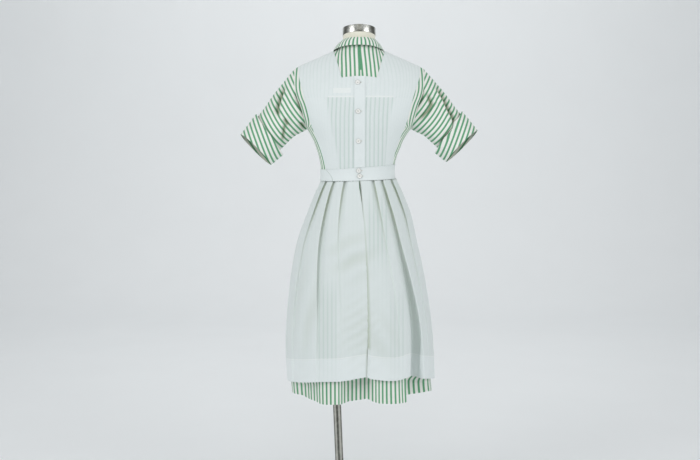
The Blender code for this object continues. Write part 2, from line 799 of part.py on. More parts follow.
def pleat_depth(angle, down):
    """How far the apron's surface lies inside its plain form, at an angle in degrees."""
    total = 0.0
    for edge_top, edge_hem, width_top, width_hem, depth_top, depth_mid, depth_hem in PLEATS:
        edge = edge_top + (edge_hem - edge_top) * smooth(down / 0.8)
        width = width_top + (width_hem - width_top) * down
        if down < PLEAT_MID:
            depth = depth_top + (depth_mid - depth_top) * down / PLEAT_MID
        else:
            depth = depth_mid + (depth_hem - depth_mid) * (down - PLEAT_MID) / (1.0 - PLEAT_MID)
        outwards = 1.0 if edge > 0 else -1.0
        if abs(edge) > SIDE_SEAM_DEG:
            outwards = -outwards
        across = (angle - edge) * outwards / width
        if -1.0 < across < 1.1:
            total += depth * read_straight(PLEAT_SHAPE, PLEAT_SHAPE_COLUMNS, "depth", across)
    return total


def tuck_depth(angle, down):
    """The left back panel turns in under the right one towards the hem."""
    middle = read_straight(OPENING, OPENING_COLUMNS, "middle_deg", down)
    away = (middle - angle) / TUCK_SPREAD_DEG
    if not 0.0 <= away < 1.0:
        return 0.0
    return read_straight(OPENING, OPENING_COLUMNS, "left_tuck", down) * (1.0 - away) ** 2


def flare_depth(angle, down):
    """Hollows between the flares of the dress's skirt."""
    total = 0.0
    for start, floor_from, floor_to, end, depth in FLARES:
        turned = angle + 360.0 if end > 180.0 and angle < 0.0 else angle
        if not start < turned < end:
            continue
        fall_in = smooth((turned - start) / (floor_from - start))
        fall_out = smooth((end - turned) / (end - floor_to))
        rise = min(fall_in, fall_out)
        total = max(total, depth * rise)
    return total * smooth((down - FLARE_START) / (FLARE_FULL - FLARE_START))


def ring_point(table, names, angle, z, inwards):
    """A point on a skirt's section at an angle from the centre back, moved inwards."""
    turn = math.radians(angle)
    face = "back" if math.cos(turn) >= 0.0 else "front"
    half_width = read(table, names, "half_width", z) - inwards
    depth = read(table, names, face, z) - inwards
    power = 2.0 / SKIRT_POWER
    x = half_width * math.copysign(abs(math.sin(turn)) ** power, math.sin(turn))
    y = -depth * math.copysign(abs(math.cos(turn)) ** power, math.cos(turn))
    return Vector((x, y, z))


def skirt_angles(down):
    """The columns of both skirts at a level: they follow the pleats down."""
    angles = []
    for edge_top, edge_hem, width_top, width_hem, *_ in PLEATS:
        edge = edge_top + (edge_hem - edge_top) * smooth(down / 0.8)
        width = width_top + (width_hem - width_top) * down
        outwards = 1.0 if edge > 0 else -1.0
        if abs(edge) > SIDE_SEAM_DEG:
            outwards = -outwards
        angles += [edge + sample * width * outwards for sample in PLEAT_SAMPLES]
    middle = read_straight(OPENING, OPENING_COLUMNS, "middle_deg", down)
    angles += [middle, -SIDE_SEAM_DEG, SIDE_SEAM_DEG, 180.0, 168.0, -168.0]
    return angles


def apron_height(angle, down):
    across = ring_point(TORSO, TORSO_COLUMNS, angle, WAIST, 0.0).x
    top = BAND_BOTTOM - SEAM_GAP + BAND_TILT_BOTTOM * across
    hem = APRON_HEM - APRON_HEM_SIDE_DROP * math.sin(math.radians(angle)) ** 2
    return top + (hem - top) * down


def apron_point(angle, down):
    z = apron_height(angle, down)
    inwards = pleat_depth(angle, down) + tuck_depth(angle, down)
    return ring_point(APRON_SKIRT, APRON_SKIRT_COLUMNS, angle, z, inwards)


def dress_point(angle, down):
    """The dress's skirt has its own flares and stays inside the apron's pleats. It goes on above and below."""
    within = min(1.0, max(0.0, down))
    if down < 0.0:
        z = WAIST
    elif down <= 1.0:
        z = apron_height(angle, down)
    else:
        z = apron_height(angle, 1.0) + (DRESS_HEM - apron_height(angle, 1.0)) * (down - 1.0)
    near = [angle + turn for turn in UNDER_APRON_WINDOW]
    under = max(pleat_depth(turned, within) + tuck_depth(turned, within) for turned in near)
    apron = read(APRON_SKIRT, APRON_SKIRT_COLUMNS, "half_width", z)
    own = read(DRESS_SKIRT, DRESS_SKIRT_COLUMNS, "half_width", z)
    limit = apron - under - UNDER_APRON
    inwards = max(flare_depth(angle, down), own - limit if down >= 0.0 else 0.0, 0.0)
    return ring_point(DRESS_SKIRT, DRESS_SKIRT_COLUMNS, angle, z, inwards)


def skirt_rows(point_at, levels, first, last):
    """Rows of points from the waist to the hem between two columns, counted from the front centre."""
    rows = []
    at_waist = skirt_angles(0.0)
    order = sorted(range(len(at_waist)), key=lambda i: at_waist[i])
    for down in levels:
        angles = skirt_angles(min(1.0, max(0.0, down)))
        rows.append([point_at(angles[i], down) for i in order[first : last + 1]])
    return rows


def column_of(angle):
    """Which column starts at that angle at the waist."""
    angles = sorted(skirt_angles(0.0))
    return min(range(len(angles)), key=lambda i: abs(angles[i] - angle))


def open_back_edge(rows, left):
    """Draws the last or first column of a back panel away from the opening's middle line."""
    for row, down in zip(rows, APRON_ROWS):
        half_gap = read_straight(OPENING, OPENING_COLUMNS, "half_gap", down)
        i, sign = (-1, -1.0) if left else (0, 1.0)
        row[i] = row[i] + Vector((sign * half_gap, 0.0, 0.0))
    return rows


def build_skirts(parent):
    """The dress's skirt in a back and a front, and the apron's in a front and two backs."""
    total = len(skirt_angles(0.0))
    left_side, right_side = column_of(-SIDE_SEAM_DEG), column_of(SIDE_SEAM_DEG)
    opening = column_of(read_straight(OPENING, OPENING_COLUMNS, "middle_deg", 0.0))
    last = total - 1

    def wrapped(point_at, levels):
        """The front panel runs on past the centre front to the other side seam."""
        right = skirt_rows(point_at, levels, right_side, last)
        left = skirt_rows(point_at, levels, 0, left_side)
        return [a + b for a, b in zip(right, left)]

    down_out = (0.0, -1.0, 0.0)
    rows = skirt_rows(dress_point, DRESS_ROWS, left_side, right_side)
    sheet_solid("dress_skirt_back", rows, DRESS_OUTER, "striped_cotton", parent, (-1.0, 0.0, 0.0))
    rows = wrapped(dress_point, DRESS_ROWS)
    sheet_solid("dress_skirt_front", rows, DRESS_OUTER, "striped_cotton", parent, (1.0, 0.0, 0.0))
    rows = open_back_edge(skirt_rows(apron_point, APRON_ROWS, left_side, opening), True)
    sheet_solid("apron_skirt_left", rows, DRESS_OUTER, "white_lawn", parent, (-1.0, 0.0, 0.0))
    rows = open_back_edge(skirt_rows(apron_point, APRON_ROWS, opening, right_side), False)
    sheet_solid("apron_skirt_right", rows, DRESS_OUTER, "white_lawn", parent, down_out)
    rows = wrapped(apron_point, APRON_ROWS)
    sheet_solid("apron_skirt_front", rows, DRESS_OUTER, "white_lawn", parent, (1.0, 0.0, 0.0))


# Turned pieces

def turned(name, profile, sides, finish_name, parent, place, towards=(0.0, 0.0, 1.0)):
    """A solid turned from a profile of (radius, height) pairs that starts and ends on the axis."""
    mesh = bmesh.new()
    rings = []
    for radius, height in profile:
        if radius == 0.0:
            rings.append([mesh.verts.new((0.0, 0.0, height))] * sides)
            continue
        ring = []
        for i in range(sides):
            turn = 2.0 * math.pi * i / sides
            ring.append(mesh.verts.new((radius * math.cos(turn), radius * math.sin(turn), height)))
        rings.append(ring)
    for low, high in zip(rings, rings[1:]):
        for i in range(sides):
            k = (i + 1) % sides
            corners = list(dict.fromkeys((low[i], low[k], high[k], high[i])))
            mesh.faces.new(corners)
    obj = finish(name, mesh, finish_name, parent)
    obj.rotation_mode = "QUATERNION"
    obj.rotation_quaternion = Vector((0.0, 0.0, 1.0)).rotation_difference(Vector(towards))
    obj.location = place
    return obj


def seat_on(names, x, z, facing):
    """Where a button rests on the cloth under it, from the back or the front, and which way it faces."""
    tree = tree_of(names)

    def hit(across, up):
        """The cloth's surface beside the button's middle, or just beside a seam that lies there."""
        for nudge in (0.0, 0.001, -0.001):
            start = Vector((x + across + nudge, facing * 0.5, z + up))
            found = tree.ray_cast(start, Vector((0.0, -facing, 0.0)))[0]
            if found:
                return found - Vector((nudge, 0.0, 0.0))
        return Vector((x + across, 0.0, z + up))

    reach = BUTTON_RADIUS
    across = hit(reach, 0.0) - hit(-reach, 0.0)
    up = hit(0.0, reach) - hit(0.0, -reach)
    normal = across.cross(up).normalized()
    if normal.y * facing < 0.0:
        normal = -normal
    middle = hit(0.0, 0.0)
    proud = 0.0
    for i in range(24):
        turn = math.pi * i / 12.0
        for share in (0.5, 1.0):
            spot = hit(reach * share * math.cos(turn), reach * share * math.sin(turn))
            proud = max(proud, (spot - middle).dot(normal))
    return middle + normal * (proud + SEAM_GAP), normal


def build_buttons(parent):
    """Dished buttons, each flat on the cloth with a seam gap under it."""
    profile = (
        (0.0, 0.0),
        (BUTTON_RADIUS * 0.90, 0.0),
        (BUTTON_RADIUS, BUTTON_THICKNESS * 0.45),
        (BUTTON_RADIUS * 0.90, BUTTON_THICKNESS),
        (BUTTON_RADIUS * 0.62, BUTTON_THICKNESS),
        (BUTTON_RADIUS * 0.50, BUTTON_THICKNESS - BUTTON_DISH),
        (0.0, BUTTON_THICKNESS - BUTTON_DISH),
    )
    for facing, rows in ((-1.0, APRON_BUTTONS), (1.0, DRESS_BUTTONS)):
        for name, x, z, under in rows:
            place, normal = seat_on(under, x, z, facing)
            turned(name, profile, BUTTON_SIDES, "button_shell", parent, place, normal)


def build_form(net, normals, parent):
    """The limbless torso, from the flat bottom of its hips to the top of its neck, in one skin."""
    mesh = bmesh.new()
    inner = {}

    def vert(i):
        if i not in inner:
            point = net.points[i]
            shoulder = smooth((point.z - 1.25) / 0.06)
            inset = FORM_CLEARANCE + FORM_EASE * (1.0 - shoulder)
            inner[i] = mesh.verts.new(point - normals[i] * inset)
        return inner[i]

    patches = ("back_left", "back_right", "front_left", "front_right")
    cells = net.chosen(lambda patch, r, c: patch in patches and r >= 1)
    used = triangles(net.points, cells)
    for ring in used:
        mesh.faces.new([vert(i) for i in ring])
    counts = {}
    for ring in used:
        for a, b in zip(ring, ring[1:] + ring[:1]):
            counts.setdefault(frozenset((a, b)), []).append((a, b))
    loops = chain([pair for pairs in counts.values() if len(pairs) == 1 for pair in pairs])
    for loop in loops:
        middle = sum((net.points[i] for i in loop), Vector()) / len(loop)
        verts = [inner[i] for i in loop]
        if abs(middle.x) > 0.1:
            close_with_fan(mesh, verts, Vector((0.0, 0.0, 0.0)))
        elif middle.z > 1.3:
            add_neck(mesh, verts)
        else:
            add_hips(mesh, verts)
    finish("form_torso", mesh, "form_canvas", parent)


def chain(edges):
    """Closed loops of point numbers from loose edges."""
    following = {}
    for a, b in edges:
        following.setdefault(a, []).append(b)
        following.setdefault(b, []).append(a)
    loops = []
    while following:
        start = next(iter(following))
        loop = [start]
        while True:
            options = [i for i in following[loop[-1]] if i not in loop[-2:-1]]
            step = next((i for i in options if i not in loop), None)
            if step is None:
                break
            loop.append(step)
        for i in loop:
            following.pop(i)
        loops.append(loop)
    return loops


def close_with_fan(mesh, verts, push):
    middle = sum((v.co for v in verts), Vector()) / len(verts) + push
    hub = mesh.verts.new(middle)
    for a, b in zip(verts, verts[1:] + verts[:1]):
        mesh.faces.new((a, b, hub))
    return hub


def bridge(mesh, low, high):
    for a, b, c, d in zip(low, low[1:] + low[:1], high[1:] + high[:1], high):
        mesh.faces.new((a, b, c, d))


def add_neck(mesh, verts):
    """Rings up the neck, each point at its own angle round the axis, then a flat top."""
    ring = verts
    for height, half_width, half_depth, middle_y, lean in NECK_RINGS:
        new = []
        for vert in verts:
            turn = math.atan2(vert.co.x / NECK_POINT_X, -vert.co.y / 0.07)
            x, y = half_width * math.sin(turn), -half_depth * math.cos(turn)
            new.append(mesh.verts.new((x, y + middle_y, height - lean * y)))
        bridge(mesh, ring, new)
        ring = new
    close_with_fan(mesh, ring, Vector((0.0, 0.0, 0.0)))


def add_hips(mesh, verts):
    """Rings down over the hips, then a flat bottom."""
    ring = verts
    for height, half_width, back, front in HIPS[1:]:
        new = []
        for vert in verts:
            turn = math.atan2(vert.co.x / HIPS[0][1], -vert.co.y / HIPS[0][2])
            depth = back if vert.co.y < 0.0 else front
            new.append(mesh.verts.new((half_width * math.sin(turn), -depth * math.cos(turn), height)))
        bridge(mesh, ring, new)
        ring = new
    close_with_fan(mesh, ring, Vector((0.0, 0.0, 0.0)))


def build_stand(parent):
    """The neck cap, the pole, which leans a little, and the round base with its hub."""
    height, _, _, middle_y, lean = NECK_RINGS[-1]
    cap = (
        (0.0, 0.0),
        (CAP_RADIUS, 0.0),
        (CAP_RADIUS, CAP_HEIGHT - CAP_DOME),
        (CAP_RADIUS - CAP_DOME, CAP_HEIGHT - CAP_DOME * 0.3),
        (0.0, CAP_HEIGHT),
    )
    direction = Vector((0.0, lean, 1.0)).normalized()
    seat = Vector((0.0, middle_y, height)) + direction * SEAM_GAP
    turned("form_neck_cap", cap, 32, "chrome", parent, seat, direction)
    base = (
        (0.0, 0.0),
        (BASE_RADIUS, 0.0),
        (BASE_RADIUS, BASE_THICKNESS - BASE_CHAMFER),
        (BASE_RADIUS - BASE_CHAMFER, BASE_THICKNESS),
        (0.0, BASE_THICKNESS),
    )
    turned("stand_base", base, BASE_SIDES, "chrome", parent, Vector((0.0, 0.0, 0.0)))
    mesh = bmesh.new()
    rings = []
    foot = BASE_THICKNESS + SEAM_GAP
    top = FORM_BOTTOM - SEAM_GAP
    lean_x = (POLE_TOP_X - POLE_FOOT_X) / (top - foot)
    hub_top = foot + HUB_HEIGHT
    stops = ((foot, HUB_RADIUS), (hub_top, HUB_RADIUS), (hub_top, POLE_RADIUS), (top, POLE_RADIUS))
    for z, radius in stops:
        x = POLE_FOOT_X + lean_x * (z - foot)
        ring = []
        for i in range(POLE_SIDES):
            turn = 2.0 * math.pi * i / POLE_SIDES
            ring.append(mesh.verts.new((x + radius * math.cos(turn), radius * math.sin(turn), z)))
        rings.append(ring)
    for low, high in zip(rings, rings[1:]):
        bridge(mesh, low, high)
    close_with_fan(mesh, rings[0], Vector((0.0, 0.0, 0.0)))
    close_with_fan(mesh, rings[-1], Vector((0.0, 0.0, 0.0)))
    finish("stand_pole", mesh, "chrome", parent)


def main():
    clear_scene()
    parent = bpy.data.objects.new("nurse_uniform_on_form", None)
    bpy.context.scene.collection.objects.link(parent)
    net = dress_net()
    normals = net.normals((("back_right", 4, 1), (0.0, -1.0, 0.0)))
    build_bodice(net, normals, parent)
    build_apron_top(net, normals, parent)
    build_placket(parent)
    build_form(net, normals, parent)
    build_collar(net, normals, parent)
    build_skirts(parent)
    build_buttons(parent)
    build_stand(parent)


main()
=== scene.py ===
"""The looks of a nurse uniform on its dress form: striped cotton, white lawn, stitching, buttons, canvas and metal.

Metres, +Z up. The garment's back faces -Y. Left and right are as seen from the back.
"""

import math

import bpy
import numpy as np
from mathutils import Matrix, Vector
from mathutils.bvhtree import BVHTree

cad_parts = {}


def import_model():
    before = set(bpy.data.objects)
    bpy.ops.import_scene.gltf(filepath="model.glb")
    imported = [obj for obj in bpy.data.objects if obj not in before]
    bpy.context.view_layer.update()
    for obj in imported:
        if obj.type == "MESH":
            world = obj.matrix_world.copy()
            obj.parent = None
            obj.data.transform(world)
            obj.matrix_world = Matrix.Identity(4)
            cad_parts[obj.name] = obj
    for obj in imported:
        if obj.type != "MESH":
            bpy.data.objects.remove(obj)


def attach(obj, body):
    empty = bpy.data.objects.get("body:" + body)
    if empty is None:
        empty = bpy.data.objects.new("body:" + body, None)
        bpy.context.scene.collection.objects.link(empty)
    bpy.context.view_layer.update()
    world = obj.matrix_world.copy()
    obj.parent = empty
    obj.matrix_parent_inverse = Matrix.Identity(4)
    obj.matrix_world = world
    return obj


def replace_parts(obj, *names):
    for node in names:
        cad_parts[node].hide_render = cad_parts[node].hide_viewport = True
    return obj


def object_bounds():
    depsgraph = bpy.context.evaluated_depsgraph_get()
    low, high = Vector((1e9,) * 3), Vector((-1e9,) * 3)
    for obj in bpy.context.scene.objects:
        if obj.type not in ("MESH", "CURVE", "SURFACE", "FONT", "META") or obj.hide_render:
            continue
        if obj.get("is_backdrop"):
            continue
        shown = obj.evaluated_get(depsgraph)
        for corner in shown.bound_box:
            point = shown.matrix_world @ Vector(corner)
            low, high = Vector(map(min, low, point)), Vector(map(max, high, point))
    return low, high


class Table:
    """Rows of numbers under named columns, in the order of the first column."""

    def __init__(self, columns, rows):
        self.columns = columns
        self.rows = sorted(rows)

    def read(self, column, at):
        """A column at a value of the first one, on a smooth curve through the rows."""
        rows, index = self.rows, self.columns.index(column)
        if at <= rows[0][0]:
            return rows[0][index]
        if at >= rows[-1][0]:
            return rows[-1][index]
        i = max(k for k in range(len(rows) - 1) if rows[k][0] <= at)
        low, high = rows[i], rows[i + 1]
        before, after = rows[max(0, i - 1)], rows[min(len(rows) - 1, i + 2)]
        span = high[0] - low[0]
        share = (at - low[0]) / span
        slope_in = (high[index] - before[index]) / (high[0] - before[0]) * span
        slope_out = (after[index] - low[index]) / (after[0] - low[0]) * span
        square, cube = share**2, share**3
        return (
            (2 * cube - 3 * square + 1) * low[index]
            + (cube - 2 * square + share) * slope_in
            + (3 * square - 2 * cube) * high[index]
            + (cube - square) * slope_out
        )

    def read_straight(self, column, at):
        """A column with straight runs between the rows."""
        rows, index = self.rows, self.columns.index(column)
        if at <= rows[0][0]:
            return rows[0][index]
        for low, high in zip(rows, rows[1:]):
            if at <= high[0]:
                share = (at - low[0]) / (high[0] - low[0])
                return low[index] + (high[index] - low[index]) * share
        return rows[-1][index]


# Cloth layers in the render, as distances outwards from the dress's inner face
DRESS_LAYER = (0.0002, 0.0009)
APRON_LAYER = (0.0018, 0.0024)
BAND_LAYER = (0.0018, 0.0034)
PLACKET_LAYER = (0.0031, 0.0040)
CUFF_LAYER = (0.0018, 0.0030)
SEAM_GAP = 0.0003

# Heights of the seams
WAIST = 1.034
BAND_BOTTOM = 1.0142
BAND_TOP = 1.0537
BAND_TILT_TOP = 0.072
BAND_TILT_BOTTOM = 0.030
DRESS_HEM = 0.3715
APRON_HEM = 0.443
APRON_HEM_SIDE_DROP = 0.030
ARMPIT = 1.167

# The shoulder line, from the side of the neck to the sleeve seam
NECK_POINT_X = 0.062
NECK_POINT_Z = 1.399
SHOULDER_TIP_X = 0.190
SHOULDER_TIP_Z = 1.343
BACK_NECK_Z = 1.412
FRONT_NECK_Z = 1.345
RIDGE_RISE = 0.050
ROUNDING_START = 1.21
ROUNDING_POWER = 2.2
SECTION_POWER = 2.3

# The body's section at each height: its half width, and how far back and front stand from the side line
TORSO = Table(("height", "half_width", "back", "front"), (
    (1.000, 0.1160, 0.0890, 0.0930),
    (BAND_BOTTOM, 0.1100, 0.0850, 0.0890),
    (WAIST, 0.1085, 0.0830, 0.0880),
    (BAND_TOP, 0.1090, 0.0850, 0.0915),
    (1.085, 0.1160, 0.0895, 0.0990),
    (1.109, 0.1245, 0.0935, 0.1060),
    (1.132, 0.1335, 0.0975, 0.1130),
    (1.156, 0.1470, 0.1020, 0.1190),
    (ARMPIT, 0.1550, 0.1040, 0.1210),
    (1.200, 0.1790, 0.1070, 0.1220),
    (1.236, 0.1960, 0.1080, 0.1170),
    (1.270, 0.2090, 0.1070, 0.1110),
    (1.310, 0.2140, 0.1020, 0.1020),
    (1.350, 0.2140, 0.0980, 0.0940),
    (1.420, 0.2140, 0.0960, 0.0880),
))

# Where the side seam and the armhole run, seen from the back
ARMHOLE = Table(("height", "x"), (
    (ARMPIT, 0.1550),
    (1.182, 0.1580),
    (1.200, 0.1630),
    (1.236, 0.1740),
    (1.258, 0.1830),
    (1.281, 0.1890),
    (1.310, 0.1905),
    (SHOULDER_TIP_Z, SHOULDER_TIP_X),
))

# The apron's outer edge, the side of its neckline and the column through the dress's neck point
APRON_EDGE = Table(("height", "left", "right"), (
    (WAIST, 0.0915, 0.0985),
    (1.047, 0.0932, 0.0995),
    (1.062, 0.0965, 0.1012),
    (1.085, 0.1035, 0.1045),
    (1.102, 0.1095, 0.1080),
    (1.132, 0.1210, 0.1175),
    (1.167, 0.1350, 0.1310),
    (1.192, 0.1440, 0.1390),
    (1.260, 0.1605, 0.1570),
    (1.310, 0.1740, 0.1740),
    (1.350, 0.1800, 0.1800),
))
NECK_SIDE = Table(("height", "back_x", "front_x"), (
    (WAIST, 0.0420, 0.0480),
    (1.200, 0.0470, 0.0560),
    (1.262, 0.0490, 0.0590),
    (1.3126, 0.0505, 0.0595),
    (1.350, 0.0612, 0.0600),
    (1.3935, 0.0750, 0.0750),
))
NECK_COLUMN = Table(("height", "x"), (
    (WAIST, 0.0330),
    (1.200, 0.0370),
    (1.3126, 0.0440),
    (NECK_POINT_Z, NECK_POINT_X),
))

# Cells of the body net between those columns, and its rows from the band's top to the neck and shoulder
CELLS_TO_NECK_POINT = 4
CELLS_TO_NECK_SIDE = 1
CELLS_TO_APRON_EDGE = 3
CELLS_TO_SIDE = 2
ARMPIT_ROW_SHARE = (ARMPIT - BAND_TOP) / (SHOULDER_TIP_Z - BAND_TOP)
ROW_SHARES = (0.0, 0.20, ARMPIT_ROW_SHARE, 0.50, 0.60, 0.69, 0.775, 0.857, 0.91, 0.955, 0.985, 1.0)
NECK_CLIMB_POWER = 10
BODY_PATCHES = ("back_left", "back_right", "front_left", "front_right")
APRON_BACK_NECK_ROW = 7
APRON_BIB_TOP_ROW = 5
COLUMN_SPLIT = 6
ROW_SPLIT = 6

# Bust fullness on the front
BUST_X = 0.078
BUST_Z = 1.190
BUST_SPREAD = 0.050
BUST_DEPTH = 0.010

# The seam down the dress's back drifts to the right below the neck
SEAM_DRIFT = Table(("height", "x"), (
    (1.20, 0.0), (1.30, 0.0052), (1.32, 0.0047), (1.352, 0.0030), (1.395, 0.0), (1.44, 0.0),
))
SEAM_DRIFT_REACH = 0.045

# The uniform hangs a little to one side: how far its outline moves sideways at each height
BODY_LEAN = Table(("height", "x"), (
    (1.0144, -0.0035),
    (1.045, -0.0045),
    (1.085, -0.0035),
    (1.109, -0.0022),
    (1.132, -0.0020),
    (1.156, -0.0010),
    (ARMPIT, 0.0),
))
SKIRT_LEAN = Table(("height", "x"), (
    (0.3715, 0.0110),
    (0.402, 0.0070),
    (0.440, 0.0050),
    (0.514, 0.0020),
    (0.588, 0.0),
    (0.661, -0.0022),
    (0.735, -0.0042),
    (0.808, -0.0060),
    (0.844, -0.0052),
    (0.880, -0.0026),
    (0.917, 0.0),
))

# Sleeves: the middle of each opening, its half width across and its half depth
SLEEVE_COLUMNS = ("side", "end_x", "end_z", "half_width", "half_depth", "slope_deg")
SLEEVES = (
    ("left", -0.3080, 1.1035, 0.0610, 0.0470, 45.0),
    ("right", 0.3070, 1.1140, 0.0630, 0.0470, 45.0),
)
SLEEVE_RING_COUNT = 60
CUFF_START = 0.70
UNDERARM_RISE = 0.0115
SLEEVE_TOP_DROP = 0.0045
SLEEVE_TOP_BULGE = 0.001
SLEEVE_OPENING_LEAN = 0.010
SLEEVE_STRIPE_CURVE = 0.36
CUFF_STRIPE_DEG = 26.0

# Creases seen from the back: a line of places (x, z), its width, its depth and the ridge beside it.
# The ridge stands on the left of the line's direction where the side is 1.
CREASE_COLUMNS = ("part", "line", "width", "depth", "ridge", "ridge_side")
CREASES = (
    ("sleeve_left", ((-0.2205, 1.2877), (-0.2325, 1.2586), (-0.2415, 1.2207), (-0.2328, 1.2032)), 0.0065, 0.0095, 0.0040, 1),
    ("sleeve_left", ((-0.2152, 1.1915), (-0.2007, 1.1680)), 0.0055, 0.0070, 0.0025, 1),
    ("sleeve_left", ((-0.2124, 1.1739), (-0.2186, 1.1240)), 0.0050, 0.0045, 0.0025, -1),
    ("sleeve_left", ((-0.1850, 1.2700), (-0.1796, 1.2557), (-0.1739, 1.2353), (-0.1622, 1.2090), (-0.1476, 1.1885)), 0.0060, 0.0095, 0.0025, -1),
    ("sleeve_left", ((-0.1712, 1.1827), (-0.1594, 1.1680)), 0.0060, 0.0080, 0.0020, 1),
    ("sleeve_right", ((0.2281, 1.2877), (0.2400, 1.2703), (0.2519, 1.2499), (0.2609, 1.2265), (0.2729, 1.2061), (0.2789, 1.1885), (0.2732, 1.1651)), 0.0060, 0.0095, 0.0040, -1),
    ("sleeve_right", ((0.1989, 1.2703), (0.2109, 1.2353), (0.1993, 1.2149), (0.1701, 1.1885)), 0.0060, 0.0050, 0.0030, 1),
    ("sleeve_right", ((0.2732, 1.1651), (0.2470, 1.1358), (0.2324, 1.1123)), 0.0060, 0.0065, 0.0025, -1),
    ("sleeve_right", ((0.1871, 1.2819), (0.1814, 1.2528), (0.1654, 1.2265), (0.1509, 1.2032), (0.1436, 1.1856), (0.1408, 1.1622)), 0.0060, 0.0095, 0.0025, 1),
)

# The collar at stations from the centre back to the centre front
COLLAR_FOLD_GAP = 0.0030
COLLAR_LIFT = (0.0020, 0.0036)
COLLAR_RIGHT_DRAW_IN = 0.0050
COLLAR_STATIONS = 64
COLLAR_SECTION = 28
COLLAR = Table(("station", "fold_x", "fold_y", "fold_z", "edge_x", "edge_y", "edge_z"), (
    (0.00, 0.0000, -0.0605, 1.4292, 0.0000, -0.0725, 1.4085),
    (0.25, 0.0225, -0.0560, 1.4288, 0.0330, -0.0680, 1.4068),
    (0.50, 0.0395, -0.0410, 1.4262, 0.0570, -0.0505, 1.4025),
    (0.75, 0.0490, -0.0210, 1.4222, 0.0695, -0.0265, 1.3985),
    (1.00, 0.0515, 0.0010, 1.4190, 0.0745, 0.0010, 1.3975),
    (1.25, 0.0510, 0.0240, 1.4115, 0.0790, 0.0375, 1.3870),
    (1.50, 0.0462, 0.0480, 1.3965, 0.0780, 0.0690, 1.3610),
    (1.75, 0.0305, 0.0675, 1.3750, 0.0660, 0.0930, 1.3170),
    (2.00, 0.0060, 0.0830, 1.3540, 0.0180, 0.0905, 1.3280),
))

# The apron's skirt at each height, and the dress's skirt under it
APRON_SKIRT = Table(("height", "half_width", "back", "front"), (
    (1.0400, 0.1120, 0.0865, 0.0905),
    (BAND_BOTTOM, 0.1130, 0.0875, 0.0915),
    (0.989, 0.1250, 0.0985, 0.1010),
    (0.965, 0.1355, 0.1080, 0.1090),
    (0.917, 0.1545, 0.1260, 0.1240),
    (0.868, 0.1700, 0.1400, 0.1370),
    (0.820, 0.1825, 0.1510, 0.1470),
    (0.771, 0.1930, 0.1600, 0.1550),
    (0.722, 0.2020, 0.1670, 0.1620),
    (0.624, 0.2155, 0.1770, 0.1720),
    (0.526, 0.2235, 0.1840, 0.1790),
    (0.400, 0.2245, 0.1870, 0.1830),
))
DRESS_SKIRT = Table(("height", "half_width", "back", "front"), (
    (1.0400, 0.1069, 0.0811, 0.0861),
    (WAIST, 0.1069, 0.0811, 0.0861),
    (1.0080, 0.1090, 0.0838, 0.0878),
    (0.989, 0.1180, 0.0920, 0.0945),
    (0.917, 0.1480, 0.1195, 0.1175),
    (0.820, 0.1750, 0.1440, 0.1400),
    (0.722, 0.1920, 0.1570, 0.1520),
    (0.624, 0.2040, 0.1660, 0.1610),
    (0.526, 0.2100, 0.1710, 0.1660),
    (DRESS_HEM, 0.2130, 0.1750, 0.1700),
))
UNDER_APRON = 0.0046
UNDER_APRON_WINDOW = (-4.0, -2.0, 0.0, 2.0, 4.0)
SKIRT_POWER = 2.3

# Pleats of the apron. An edge is where the upper cloth ends, and the recess lies on its side nearer the middle.
# Angles are in degrees from the centre back, towards the right. The widths are the recess's.
PLEAT_COLUMNS = ("edge_top", "edge_hem", "width_top", "width_hem", "depth_top", "depth_mid", "depth_hem")
PLEATS = (
    (20.0, 30.0, 8.0, 10.0, 0.0075, 0.0030, 0.0004),
    (35.5, 52.0, 8.0, 17.0, 0.0075, 0.0120, 0.0400),
    (59.0, 63.0, 8.0, 12.0, 0.0075, 0.0038, 0.0010),
    (-20.5, -11.5, 8.0, 10.0, 0.0075, 0.0032, 0.0004),
    (-40.0, -31.0, 8.0, 12.0, 0.0075, 0.0085, 0.0022),
    (-60.0, -62.0, 8.0, 14.0, 0.0075, 0.0042, 0.0020),
    (152.0, 146.0, 9.0, 16.0, 0.0035, 0.0120, 0.0220),
    (133.0, 122.0, 9.0, 15.0, 0.0035, 0.0120, 0.0260),
    (112.0, 102.0, 9.0, 12.0, 0.0035, 0.0100, 0.0080),
    (-152.0, -148.0, 9.0, 15.0, 0.0035, 0.0120, 0.0200),
    (-133.0, -125.0, 9.0, 15.0, 0.0035, 0.0120, 0.0240),
    (-112.0, -104.0, 9.0, 12.0, 0.0035, 0.0100, 0.0080),
)
PLEAT_MID = 0.30

# A pleat's section: across its width from the recess's far side to beyond the edge, and its depth.
# The folded section goes in under the edge and the plain one, for shallow places, does not.
PLEAT_SECTION_COLUMNS = ("across_folded", "across_plain", "depth")
PLEAT_SECTION = (
    (-1.00, -1.00, 0.00),
    (-0.80, -0.80, 0.10),
    (-0.58, -0.58, 0.36),
    (-0.36, -0.38, 0.72),
    (-0.16, -0.22, 0.95),
    (0.02, -0.14, 1.00),
    (0.13, -0.10, 0.84),
    (0.13, -0.07, 0.50),
    (0.06, -0.04, 0.18),
    (0.00, 0.00, -0.06),
    (0.04, 0.05, -0.13),
    (0.20, 0.20, -0.13),
    (0.50, 0.50, -0.10),
    (0.80, 0.80, -0.03),
    (1.10, 1.10, 0.00),
)
PLAIN_SECTION = Table(("across", "depth"), [(row[1], row[2]) for row in PLEAT_SECTION])
PLEAT_SHADE = (0.0, 0.0, 0.05, 0.14, 0.32, 0.70, 1.0, 1.0, 0.85, 0.15, 0.0, 0.0, 0.0, 0.0, 0.0)

